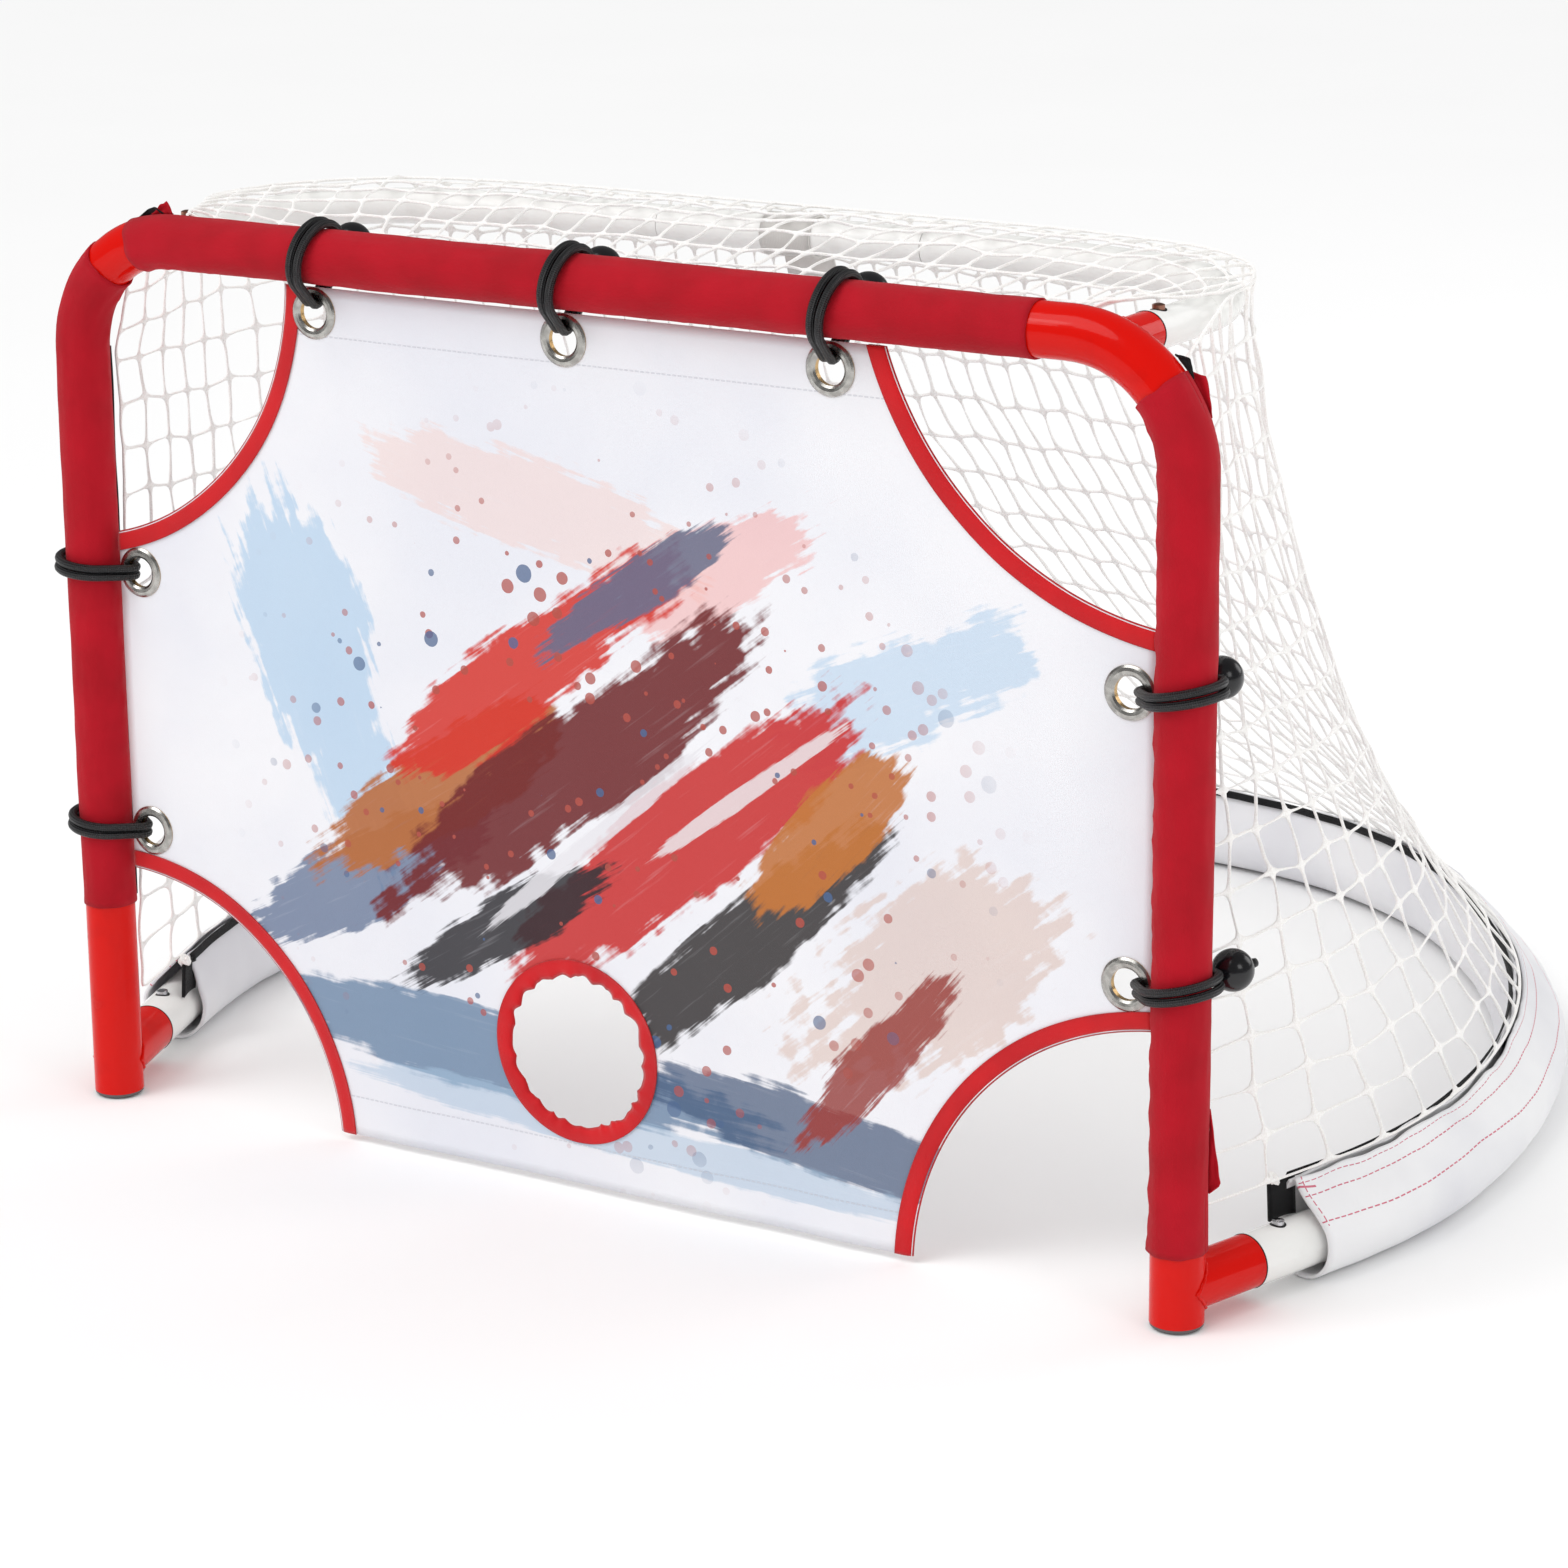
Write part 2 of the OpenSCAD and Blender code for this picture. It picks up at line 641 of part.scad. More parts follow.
module upper_left_binding() color("red") in_place() corner_binding(-1, 1);
module upper_right_binding() color("red") in_place() corner_binding(1, 1);
module lower_left_binding() color("red") in_place() corner_binding(-1, 0);
module lower_right_binding() color("red") in_place() corner_binding(1, 0);
module five_hole_binding() color("red") in_place()
    translate([five_hole[0], 0, five_hole[1]]) folded_tape(five_hole_r);

module at_eyelets() {
    for (p = eyelet_points) translate([p[0], sheet_y, p[1]]) upright() children();
}

// The barrel goes through the sheet and is rolled over a washer behind it
module eyelets() color("silver") in_place() at_eyelets() rotate_extrude() {
    face = sheet_t / 2;
    polygon([[eyelet_hole, -face - 1.6], [eyelet_hole + 0.9, -face - 1.6], [eyelet_hole + 0.9, face],
        [eyelet_r, face], [eyelet_r, face + 0.5], [eyelet_r - 1.5, face + 0.8 * eyelet_t],
        [eyelet_r - 3.5, face + eyelet_t], [eyelet_hole + 1.5, face + 0.8 * eyelet_t],
        [eyelet_hole, face + 0.3 * eyelet_t]]);
}

module eyelet_washers() color("darkgray") in_place() at_eyelets() rotate_extrude() {
    back = -sheet_t / 2;
    translate([eyelet_hole + 1, back - 1]) square([eyelet_r - eyelet_hole - 1.5, 1]);
}

// ---------------------------------------------------------------- bungees

function polar(r, a) = r * [cos(a), sin(a)];
// The loop is a belt round two circles: the tube at the origin, and the turn through the eyelet
turn_at = [eyelet_reach - eyelet_hole + cord_r + 1.7 - wrap_r, sheet_y];
belt_open = acos((loop_r - wrap_r) / norm(turn_at));
belt_mid = atan2(turn_at[1], turn_at[0]);

module cord_arc(r, from, angle) {
    rotate([0, 0, from]) rotate_extrude(angle = angle, $fn = 48) translate([r, 0]) circle(cord_r, $fn = 20);
}

module cord_belt() {
    run = sqrt(pow(norm(turn_at), 2) - pow(loop_r - wrap_r, 2));
    cord_arc(loop_r, belt_mid + belt_open, 360 - 2 * belt_open);
    translate(turn_at) cord_arc(wrap_r, belt_mid - belt_open, 2 * belt_open);
    for (s = [-1, 1]) {
        translate(polar(loop_r, belt_mid + s * belt_open)) rotate([0, 0, belt_mid + s * (belt_open - 90)])
            translate([-lap, 0, 0]) rotate([0, 90, 0]) cylinder(h = run + 2 * lap, r = cord_r - hair, $fn = 20);
    }
}

module slanted(slant) {
    translate([turn_at[0], 0, 0]) rotate([0, slant, 0]) translate([-turn_at[0], 0, 0]) children();
}

ball_at = loop_r + cord_r + ball_r;

// The two strands of the loop, and the knotted end that goes through the ball
module bungee(slant, ball_angle) slanted(slant) {
    for (s = [-1, 1]) translate([0, 0, s * (cord_r + 0.1)]) cord_belt();
    rotate([0, 0, ball_angle]) rotate([0, 90, 0]) {
        translate([0, 0, loop_r]) cylinder(h = ball_at + ball_r - loop_r, r = cord_r, $fn = 20);
        translate([0, 0, ball_at + ball_r + 1.5]) sphere(cord_r + 1);
    }
}

module ball(slant, ball_angle) slanted(slant) rotate([0, 0, ball_angle]) rotate([0, 90, 0])
    translate([0, 0, ball_at]) difference() {
        sphere(ball_r);
        cylinder(h = 2 * ball_d, r = cord_r + 0.2, center = true, $fn = 20);
    }

// Turns the bungee's own frame onto the crossbar or a post
module on_bar(i) {
    translate([i * eyelet_pitch - eyelet_shift, 0, goal_h]) rotate([0, 90, 0]) children();
}

module on_left_post(row) {
    translate([-goal_w / 2, 0, eyelet_rows[row] - sheet_drop]) children();
}

module on_right_post(row) {
    translate([goal_w / 2, 0, eyelet_rows[row] + sheet_drop]) rotate([0, 180, 0]) children();
}

// Where the balls hang round the tube: 90 is straight behind it, more is away from the sheet
ball_top_angle = 96;
ball_side_angle = [118, 98];

module top_left_bungee() color("black") in_place() on_bar(-1) bungee(loop_slant, ball_top_angle);
module top_middle_bungee() color("black") in_place() on_bar(0) bungee(loop_slant, ball_top_angle);
module top_right_bungee() color("black") in_place() on_bar(1) bungee(loop_slant, ball_top_angle);
module left_lower_bungee() color("black") in_place() on_left_post(0) bungee(loop_slant / 2, ball_side_angle[0]);
module left_upper_bungee() color("black") in_place() on_left_post(1) bungee(loop_slant / 2, ball_side_angle[1]);
module right_lower_bungee() color("black") in_place() on_right_post(0) bungee(-loop_slant, ball_side_angle[0]);
module right_upper_bungee() color("black") in_place() on_right_post(1) bungee(-loop_slant, ball_side_angle[1]);
module top_balls() color("black") in_place() for (i = [-1:1]) on_bar(i) ball(loop_slant, ball_top_angle);
module left_balls() color("black") in_place() for (row = [0, 1]) on_left_post(row) ball(loop_slant / 2, ball_side_angle[row]);
module right_balls() color("black") in_place()
    for (row = [0, 1]) on_right_post(row) ball(-loop_slant, ball_side_angle[row]);

// ---------------------------------------------------------------- net

// Columns are counted from the middle of the back to the post, rows from the bow to the skirt
bow_columns = 12;
all_columns = 16;
back_rows = 7;
roof_rows = 3;
strap_gap = 0.2;
strap_leave = 20;
bow_net_route = concat([[bow_middle, 0, 0]], bow_side);
bow_net_length = route_length(bow_net_route);
base_net_route = concat(base_half_route, [[base_leg, 0, 0]]);
base_net_length = route_length(base_net_route) - loop_reach - net_gap;
// How far the net's inner face stays from the bow's axis, to pass over the strap
net_over = bow_r + strap_gap + strap_t + net_gap;
net_top_z = bow_z + net_over + net_cord;
net_front_y = loop_reach + net_gap;
// The roof is laced low behind the crossbar, under the balls, and rises at its ends to pass over the bow
roof_half = goal_w / 2 - 75;
roof_low = goal_h - 20;
roof_rise = 9;
// Where the side of the net is laced to the frame's bend
net_corner = [goal_w / 2 - corner_r * (1 - sin(45)), net_front_y, goal_h - corner_r * (1 - cos(45))];

function mixed(a, b, t) = (1 - t) * a + t * b;

function bow_edge(c) = along(bow_net_route, c / bow_columns * bow_net_length, net_over + net_cord);

function net_top(c) =
    let (p = bow_edge(min(c, bow_columns)), q = [p[0], bow_reach + p[1], net_top_z - net_cord - net_gap])
    c <= bow_columns ? q : mixed(q, net_corner, (c - bow_columns) / (all_columns - bow_columns));

function net_low(c) =
    let (p = along(base_net_route, c / all_columns * base_net_length, -skirt_lean))
    [p[0], base_reach + p[1], skirt_top + net_gap + net_cord];

// A point of the back and sides: it hangs steeply from the bow and spreads towards the skirt
function back_point(c, v) =
    let (t = net_top(c), b = net_low(c), spread = pow(max(v, 0), net_fall))
    [mixed(t[0], b[0], spread), mixed(t[1], b[1], spread), mixed(t[2], b[2], v)];

// A point of the roof, from the crossbar to the bow; c is negative on the left
function roof_point(c, v) =
    let (side = c < 0 ? -1 : 1, far = bow_edge(abs(c)),
        near_z = mixed(roof_low, net_top_z, max(0, (abs(c) - roof_rise) / (bow_columns - roof_rise))))
    [mixed(side * abs(c) / bow_columns * roof_half, side * far[0], v),
        mixed(net_front_y, bow_reach + far[1], v), mixed(near_z, net_top_z, min(1, 1.5 * v))];

function unit(v) = v / norm(v);
step = 0.01;
function back_normal(c, v) = unit(cross(back_point(c + step, v) - back_point(c - step, v),
    back_point(c, v + step) - back_point(c, v - step)));
function roof_normal(c, v) = unit(cross(roof_point(c + step, v) - roof_point(c - step, v),
    roof_point(c, v + step) - roof_point(c, v - step)));

// One flat rim per cell; adjoining cells share corners, so that neighbouring panels meet face to face
module lattice(points, normals, columns, rows) {
    w = columns + 1;
    cells = columns * rows;
    n = w * (rows + 1) + 4 * cells;
    // Corner points, then the four corners of each cell's hole
    places = concat(
        [for (j = [0:rows], i = [0:columns]) [3 * j, 3 * i]],
        [for (j = [0:rows - 1], i = [0:columns - 1], k = [[1, 1], [1, 2], [2, 2], [2, 1]])
            [3 * j + k[0], 3 * i + k[1]]]);
    skin = [for (p = places) points[p[0]][p[1]]];
    shell = concat(skin, [for (p = places) points[p[0]][p[1]] - net_cord * normals[p[0]][p[1]]]);
    function corner(i, j, k) = (j + (k > 1 ? 1 : 0)) * w + i + (k == 1 || k == 2 ? 1 : 0);
    function hole(i, j, k) = w * (rows + 1) + 4 * (j * columns + i) + k;
    spots = [for (j = [0:rows - 1], i = [0:columns - 1], k = [0:3]) [i, j, k, (k + 1) % 4]];
    quads = concat(
        [for (s = spots) [corner(s[0], s[1], s[2]), corner(s[0], s[1], s[3]),
            hole(s[0], s[1], s[3]), hole(s[0], s[1], s[2])]],
        [for (s = spots) [n + hole(s[0], s[1], s[2]), n + hole(s[0], s[1], s[3]),
            n + corner(s[0], s[1], s[3]), n + corner(s[0], s[1], s[2])]],
        [for (s = spots) [hole(s[0], s[1], s[2]), hole(s[0], s[1], s[3]),
            n + hole(s[0], s[1], s[3]), n + hole(s[0], s[1], s[2])]],
        [for (i = [0:columns - 1]) [i + 1, i, n + i, n + i + 1]],
        [for (i = [0:columns - 1]) let (a = rows * w + i) [a, a + 1, n + a + 1, n + a]],
        [for (j = [0:rows - 1]) let (a = j * w) [a + w, n + a + w, n + a, a]],
        [for (j = [0:rows - 1]) let (a = j * w + columns) [a + w, a, n + a, n + a + w]]);
    polyhedron(shell, [for (q = quads, t = [[0, 2, 1], [0, 3, 2]]) [q[t[0]], q[t[1]], q[t[2]]]]);
}

// Each cell's hole starts a small share of the cell from its edges: three values stand for one cell
function cell_steps(count, share) = [for (i = [0:3 * count]) let (k = i % 3, cell = floor(i / 3))
    cell + (k == 0 ? 0 : k == 1 ? share : 1 - share)];

module back_panel(from) {
    share = net_cord / 2 / 60;
    places = [for (j = cell_steps(back_rows, share)) [for (i = cell_steps(4, share)) [from + i, j / back_rows]]];
    lattice([for (row = places) [for (p = row) back_point(p[0], p[1])]],
        [for (row = places) [for (p = row) back_normal(p[0], p[1])]], 4, back_rows);
}

module net_roof() color("white") in_place() {
    share = net_cord / 2 / 45;
    places = [for (j = cell_steps(roof_rows, share)) [for (i = cell_steps(2 * bow_columns, share))
        [i - bow_columns, j / roof_rows]]];
    lattice([for (row = places) [for (p = row) roof_point(p[0], p[1])]],
        [for (row = places) [for (p = row) roof_normal(p[0], p[1])]], 2 * bow_columns, roof_rows);
}

module right_net_side() color("white") in_place() back_panel(12);
module left_net_side() color("white") in_place() mirrored() back_panel(12);
module right_net_corner() color("white") in_place() back_panel(8);
module left_net_corner() color("white") in_place() mirrored() back_panel(8);
module right_net_quarter() color("white") in_place() back_panel(4);
module left_net_quarter() color("white") in_place() mirrored() back_panel(4);
module right_net_back() color("white") in_place() back_panel(0);
module left_net_back() color("white") in_place() mirrored() back_panel(0);

// ---------------------------------------------------------------- nodes

front_frame();
left_post_foot();
right_post_foot();
left_base_spigot();
right_base_spigot();
left_top_spigot();
right_top_spigot();
left_bow_tube();
middle_bow_tube();
right_bow_tube();
left_base_tube();
rear_base_tube();
right_base_tube();
left_base_button();
right_base_button();
left_top_button();
right_top_button();
left_base_spring();
right_base_spring();
left_top_spring();
right_top_spring();
crossbar_sleeve();
left_post_sleeve();
right_post_sleeve();
crossbar_strip();
left_post_strip();
right_post_strip();
base_skirt();
skirt_strip();
centre_strap();
target_sheet();
upper_left_binding();
upper_right_binding();
lower_left_binding();
lower_right_binding();
five_hole_binding();
eyelets();
eyelet_washers();
top_left_bungee();
top_middle_bungee();
top_right_bungee();
left_upper_bungee();
left_lower_bungee();
right_upper_bungee();
right_lower_bungee();
top_balls();
left_balls();
right_balls();
net_roof();
left_net_side();
right_net_side();
left_net_corner();
right_net_corner();
left_net_quarter();
right_net_quarter();
left_net_back();
right_net_back();
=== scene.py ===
# %% [markdown]
# # A small hockey goal
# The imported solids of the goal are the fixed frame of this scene. The hard parts, such as tubes, buttons
# and eyelets, keep their solids and only get better finishes. Everything soft, such as the net, the sleeves,
# the padded skirt and the printed sheet, is modelled again here with folds, seams and stitches.

import math

import bmesh
import bpy
from mathutils import Matrix, Vector, noise


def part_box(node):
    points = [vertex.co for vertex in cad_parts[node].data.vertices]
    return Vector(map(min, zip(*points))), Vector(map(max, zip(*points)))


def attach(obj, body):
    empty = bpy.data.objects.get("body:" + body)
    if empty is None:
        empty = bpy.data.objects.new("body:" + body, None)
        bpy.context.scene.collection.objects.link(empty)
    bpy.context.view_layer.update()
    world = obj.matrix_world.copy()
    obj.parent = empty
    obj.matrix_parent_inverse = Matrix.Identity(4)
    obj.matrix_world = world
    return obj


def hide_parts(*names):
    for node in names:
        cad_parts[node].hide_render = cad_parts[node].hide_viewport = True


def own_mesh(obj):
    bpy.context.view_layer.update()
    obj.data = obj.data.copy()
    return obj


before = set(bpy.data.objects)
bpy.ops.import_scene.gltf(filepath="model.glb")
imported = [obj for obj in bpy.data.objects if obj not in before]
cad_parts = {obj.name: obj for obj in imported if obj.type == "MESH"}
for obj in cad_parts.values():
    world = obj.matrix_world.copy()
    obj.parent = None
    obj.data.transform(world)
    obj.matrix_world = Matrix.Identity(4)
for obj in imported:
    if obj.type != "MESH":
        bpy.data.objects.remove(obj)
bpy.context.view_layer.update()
MM = 0.001
STEEL_R = 17.5
# The posts' axis, which the measurements below count from: x across, y to the rear, z up, in millimetres
POST_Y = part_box("front_frame")[0].y + STEEL_R * MM


def at(x, y, z):
    return Vector((x * MM, y * MM + POST_Y, z * MM))


def shown(name, data):
    """A new object in the scene that holds a mesh, a lamp or a camera."""
    obj = bpy.data.objects.new(name, data)
    bpy.context.scene.collection.objects.link(obj)
    return obj


def mesh_object(name, bm):
    mesh = bpy.data.meshes.new(name)
    bm.to_mesh(mesh)
    bm.free()
    return shown(name, mesh)


print("posts stand at y =", round(POST_Y, 4))

# %% [markdown]
# ## Finishes
# A finish is a small network of shader nodes. Written as plain Python sums it stays readable, so one class
# wraps a socket and turns +, -, * and / into Math nodes. A second class holds one finish and adds any other
# node.


# %% A socket that can be calculated with
class Value:
    def __init__(self, tree, socket):
        self.tree, self.socket = tree, socket

    def math(self, operation, *others, flip=False):
        node = self.tree.nodes.new("ShaderNodeMath")
        node.operation = operation
        values = [self, *others]
        for slot, value in zip(node.inputs, reversed(values) if flip else values):
            if isinstance(value, Value):
                self.tree.links.new(value.socket, slot)
            else:
                slot.default_value = value
        return Value(self.tree, node.outputs[0])

    def __add__(self, other):
        return self.math("ADD", other)

    def __sub__(self, other):
        return self.math("SUBTRACT", other)

    def __rsub__(self, other):
        return self.math("SUBTRACT", other, flip=True)

    def __mul__(self, other):
        return self.math("MULTIPLY", other)

    def __truediv__(self, other):
        return self.math("DIVIDE", other)

    def __rtruediv__(self, other):
        return self.math("DIVIDE", other, flip=True)

    def __lt__(self, other):
        return self.math("LESS_THAN", other)

    def __gt__(self, other):
        return self.math("GREATER_THAN", other)

    def __abs__(self):
        return self.math("ABSOLUTE")

    __radd__ = __add__
    __rmul__ = __mul__

    def sin(self):
        return self.math("SINE")

    def fract(self):
        return self.math("FRACT")

    def least(self, other):
        return self.math("MINIMUM", other)

    def most(self, other):
        return self.math("MAXIMUM", other)

    def within(self, low, high):
        """0 below low, 1 above high, and smooth between."""
        node = self.tree.nodes.new("ShaderNodeMapRange")
        node.interpolation_type = "SMOOTHSTEP"
        node.inputs[1].default_value, node.inputs[2].default_value = low, high
        self.tree.links.new(self.socket, node.inputs[0])
        return Value(self.tree, node.outputs[0])


# %% One finish
class Finish:
    def __init__(self, name, **fixed):
        self.material = bpy.data.materials.new(name)
        self.material.use_nodes = True
        self.tree = self.material.node_tree
        self.shader = self.tree.nodes["Principled BSDF"]
        for socket, value in fixed.items():
            self.shader.inputs[socket.replace("_", " ").title().replace("Ior", "IOR")].default_value = value
        self.here = self.add("ShaderNodeTexCoord", out="Object")

    def add(self, kind, settings=None, inputs=None, out=0):
        node = self.tree.nodes.new(kind)
        for key, value in (settings or {}).items():
            setattr(node, key, value)
        for key, value in (inputs or {}).items():
            self.join(value, node.inputs[key])
        return Value(self.tree, node.outputs[out])

    def join(self, value, socket):
        if isinstance(value, Value):
            self.tree.links.new(value.socket, socket)
        else:
            socket.default_value = value

    def noise(self, scale, detail=3.0, where=None):
        inputs = {"Vector": where or self.here, "Scale": scale, "Detail": detail}
        return self.add("ShaderNodeTexNoise", None, inputs)

    def mix(self, share, low, high):
        return self.add("ShaderNodeMix", {"data_type": "RGBA"}, {0: share, 6: low, 7: high}, 2)

    def split(self, vector):
        node = self.tree.nodes.new("ShaderNodeSeparateXYZ")
        self.join(vector, node.inputs[0])
        return [Value(self.tree, o) for o in node.outputs]

    def flat_map(self):
        """The piece's own map: metres along it and metres across it."""
        return self.split(self.add("ShaderNodeUVMap", {"uv_map": "cloth"}))[:2]

    def colour(self, value):
        self.join(value, self.shader.inputs["Base Color"])

    def rough(self, value):
        self.join(value, self.shader.inputs["Roughness"])

    def relief(self, height, depth):
        bump = self.add("ShaderNodeBump", None, {"Height": height, "Distance": depth, "Strength": 1.0})
        self.join(bump, self.shader.inputs["Normal"])


def rgb(r, g, b):
    return (r, g, b, 1.0)


# %% [markdown]
# ### Enamel and metal
# Enamelled tube is glossy but never perfect: the colour is even, while the gloss carries faint wiping marks
# and the surface a slight orange peel, which is what makes a highlight look like paint and not like plastic.


# %% Enamel, steel, plated and moulded finishes
def enamel(name, colour, scuff):
    f = Finish(name, roughness=0.2, coat_weight=0.28, coat_roughness=0.04, specular_ior_level=0.06)
    wear = f.noise(38.0, 4.0).within(0.52, 0.74)
    f.colour(f.mix(wear * 0.35, colour, scuff))
    f.rough(0.16 + f.noise(9.0, 2.0) * 0.1 + wear * 0.08)
    f.relief(f.noise(420.0, 1.0) + f.noise(60.0, 2.0) * 0.8, 0.00012)
    return f.material


def metal(name, colour, rough, streak=240.0):
    f = Finish(name, metallic=1.0)
    fine = f.noise(streak, 5.0)
    f.colour(f.mix(fine.within(0.35, 0.7), [0.72 * c for c in colour[:3]] + [1.0], colour))
    f.rough(rough + (fine - 0.5) * 0.18)
    f.relief(fine, 0.00006)
    return f.material


def moulded(name, colour, rough):
    f = Finish(name, specular_ior_level=0.5)
    f.colour(f.mix(f.noise(90.0, 3.0), [0.8 * c for c in colour[:3]] + [1.0], colour))
    f.rough(rough + f.noise(30.0) * 0.12)
    f.relief(f.noise(900.0, 2.0), 0.00005)
    return f.material


frame_red = enamel("frame_red_enamel", rgb(0.64, 0.004, 0.001), rgb(0.48, 0.002, 0.001))
tube_white = enamel("tube_white_enamel", rgb(0.86, 0.86, 0.84), rgb(0.70, 0.69, 0.66))
spigot_steel = metal("spigot_zinc", rgb(0.62, 0.63, 0.65), 0.34)
button_steel = metal("button_chrome", rgb(0.58, 0.58, 0.60), 0.14, 120.0)
button_bronze = metal("button_bronze", rgb(0.42, 0.2, 0.14), 0.32, 120.0)
spring_steel = metal("spring_blued", rgb(0.22, 0.24, 0.29), 0.3)
nickel = metal("eyelet_nickel", rgb(0.50, 0.49, 0.46), 0.26, 180.0)
foot_grey = moulded("foot_grey_plastic", rgb(0.13, 0.12, 0.12), 0.55)
ball_black = moulded("ball_black_gloss", rgb(0.008, 0.008, 0.010), 0.13)

# The barrel inside an eyelet has lost its plating: its normals lie in the sheet's plane
eyelet = Finish("eyelet_worn_nickel", metallic=1.0)
facing = abs(eyelet.split(eyelet.add("ShaderNodeTexCoord", out="Normal"))[1])
streaks = eyelet.noise(180.0, 5.0)
plated = eyelet.mix(streaks.within(0.35, 0.7), rgb(0.36, 0.35, 0.33), rgb(0.56, 0.55, 0.52))
eyelet.colour(eyelet.mix(facing.within(0.1, 0.4), rgb(0.55, 0.36, 0.16), plated))
eyelet.rough(0.26 + (streaks - 0.5) * 0.18)
eyelet.relief(streaks, 0.00006)
eyelet_nickel = eyelet.material
print("hard finishes:", len(bpy.data.materials))

# %% [markdown]
# ### Cloth
# Woven cloth is two sets of threads that pass over and under each other. On a piece with its own flat map
# the weave is two sine waves multiplied together, and a soft noise makes the shading uneven as in real cloth.


# %% Woven finishes
def weave(along, across, pitch):
    turn = 2 * math.pi / pitch
    return (along * turn).sin() * (across * turn).sin()


def woven(name, light, dark, pitch=0.0011, rough=0.75, sheen=0.25):
    f = Finish(name, sheen_weight=sheen, sheen_roughness=0.4, specular_ior_level=0.3)
    along, across = f.flat_map()
    threads = weave(along, across, pitch)
    cloudy = f.noise(24.0, 4.0).within(0.25, 0.75)
    f.colour(f.mix(cloudy * 0.6 + threads * 0.1, dark, light))
    f.rough(rough + threads * 0.05)
    f.relief(threads * 0.35 + f.noise(70.0, 4.0) * 0.9, 0.00025)
    return f


def dashes(along, across, at_v, pitch, wide, wave=None):
    """1 on a row of stitches that runs along a piece, at a distance across it."""
    off = across - at_v if wave is None else across - at_v - wave
    return (abs(off) < wide) * ((along / pitch).fract() < 0.72)


sleeve = woven("sleeve_red_nylon", rgb(0.56, 0.002, 0.016), rgb(0.38, 0.001, 0.009), sheen=0.04)
sleeve.shader.inputs["Specular IOR Level"].default_value = 0.22
sleeve_red = sleeve.material
strip_loop = woven("strip_black_loop", rgb(0.02, 0.02, 0.022), rgb(0.006, 0.006, 0.007), 0.0008, 0.95, 0.1)
strip_black = strip_loop.material
strap_grey = woven("strap_grey_webbing", rgb(0.80, 0.78, 0.75), rgb(0.66, 0.64, 0.61), 0.0026, 0.8).material
binding_tape = woven("binding_red_tape", rgb(0.74, 0.003, 0.008), rgb(0.55, 0.001, 0.006), 0.0009, 0.6)
binding_red = binding_tape.material
net_finish = Finish("net_cream_cord", roughness=0.8, sheen_weight=0.2, specular_ior_level=0.25)
strand = net_finish.noise(900.0, 3.0)
net_finish.colour(net_finish.mix(strand.within(0.3, 0.7), rgb(0.90, 0.88, 0.85), rgb(0.99, 0.98, 0.97)))
net_finish.relief(strand, 0.0004)
net_white = net_finish.material

# %% [markdown]
# ### The skirt's cover
# It is smooth white nylon, folded over at its edges and sewn with thin crimson thread. The rows of stitches
# follow the piece's own map, so they run along the curved base wherever it goes.

# %% The skirt's finish
skirt = Finish("skirt_white_nylon", roughness=0.42, sheen_weight=0.2, specular_ior_level=0.4)
along, across = skirt.flat_map()
drift = (skirt.noise(7.0, 2.0) - 0.5) * 0.010
seams = dashes(along, across, 0.0062, 0.006, 0.0004)
for v, share in ((0.0165, 0.6), (0.034, 1.0)):
    seams = seams.most(dashes(along, across, v, 0.006, 0.0004, drift * share))
# Distance from the nearer end of the cover, from half its length in metres
half_cover = 1.0315
from_end = half_cover - abs(along - half_cover)
upright = dashes(across, from_end, 0.005, 0.005, 0.0005) * (across < 0.036)
back_stitch = (from_end < 0.014) * (abs(across - 0.0085 - from_end * 0.2) < 0.0008)
seams = seams.most(upright).most(back_stitch)
nylon = skirt.mix(skirt.noise(6.0, 3.0).within(0.3, 0.7), rgb(0.74, 0.74, 0.78), rgb(0.88, 0.88, 0.89))
skirt.colour(skirt.mix(seams * 0.85, nylon, rgb(0.62, 0.02, 0.10)))
skirt.rough(0.40 + skirt.noise(40.0) * 0.12)
dents = skirt.noise(9.0, 2.0) * 4.0 + skirt.noise(26.0, 3.0) * 0.8
skirt.relief(dents + weave(along, across, 0.0012) * 0.1 - seams * 0.8, 0.0006)
skirt_white = skirt.material

# %% [markdown]
# ### The printed sheet
# The cloth carries a loose watercolour pattern of slanting strokes and splashes in ice blue, navy, red, brown
# and charcoal on cold white. Each stroke is a long ellipse whose edge is torn by noise.

# %% The sheet's print
sheet_finish = Finish("sheet_white_print", roughness=0.55, sheen_weight=0.15, specular_ior_level=0.3)
across_x, up_z = sheet_finish.flat_map()
torn = sheet_finish.noise(9.0, 7.0) - 0.5
fine = sheet_finish.noise(48.0, 4.0) - 0.5
pooled = sheet_finish.noise(16.0, 4.0)


def brushed(x, z, stretch_x, stretch_z):
    """Bristle marks: a noise that is drawn out along the brush's way."""
    return sheet_finish.noise(1.0, 4.0, sheet_finish.add(
        "ShaderNodeCombineXYZ", None, {0: x * stretch_x, 1: z * stretch_z}))


def stroke(x, z, long, wide, angle, strength, colour, ragged=1.8):
    """A brush stroke: centre, half length and half width in metres, its slope in degrees and its strength."""
    c, s = math.cos(math.radians(angle)), math.sin(math.radians(angle))
    dx, dz = across_x - x, up_z - z
    u, v = (dx * c + dz * s) / long, (dz * c - dx * s) / wide
    bristles = brushed(u, v, 1.6, 9.0) - 0.5
    reach = u * u + v * v + torn * ragged + (fine + bristles) * (0.6 * ragged)
    pigment = (0.94 + bristles * 0.8 + pooled * 0.3).least(1.0)
    return (1.0 - reach.within(0.72, 1.0)) * pigment * strength, colour


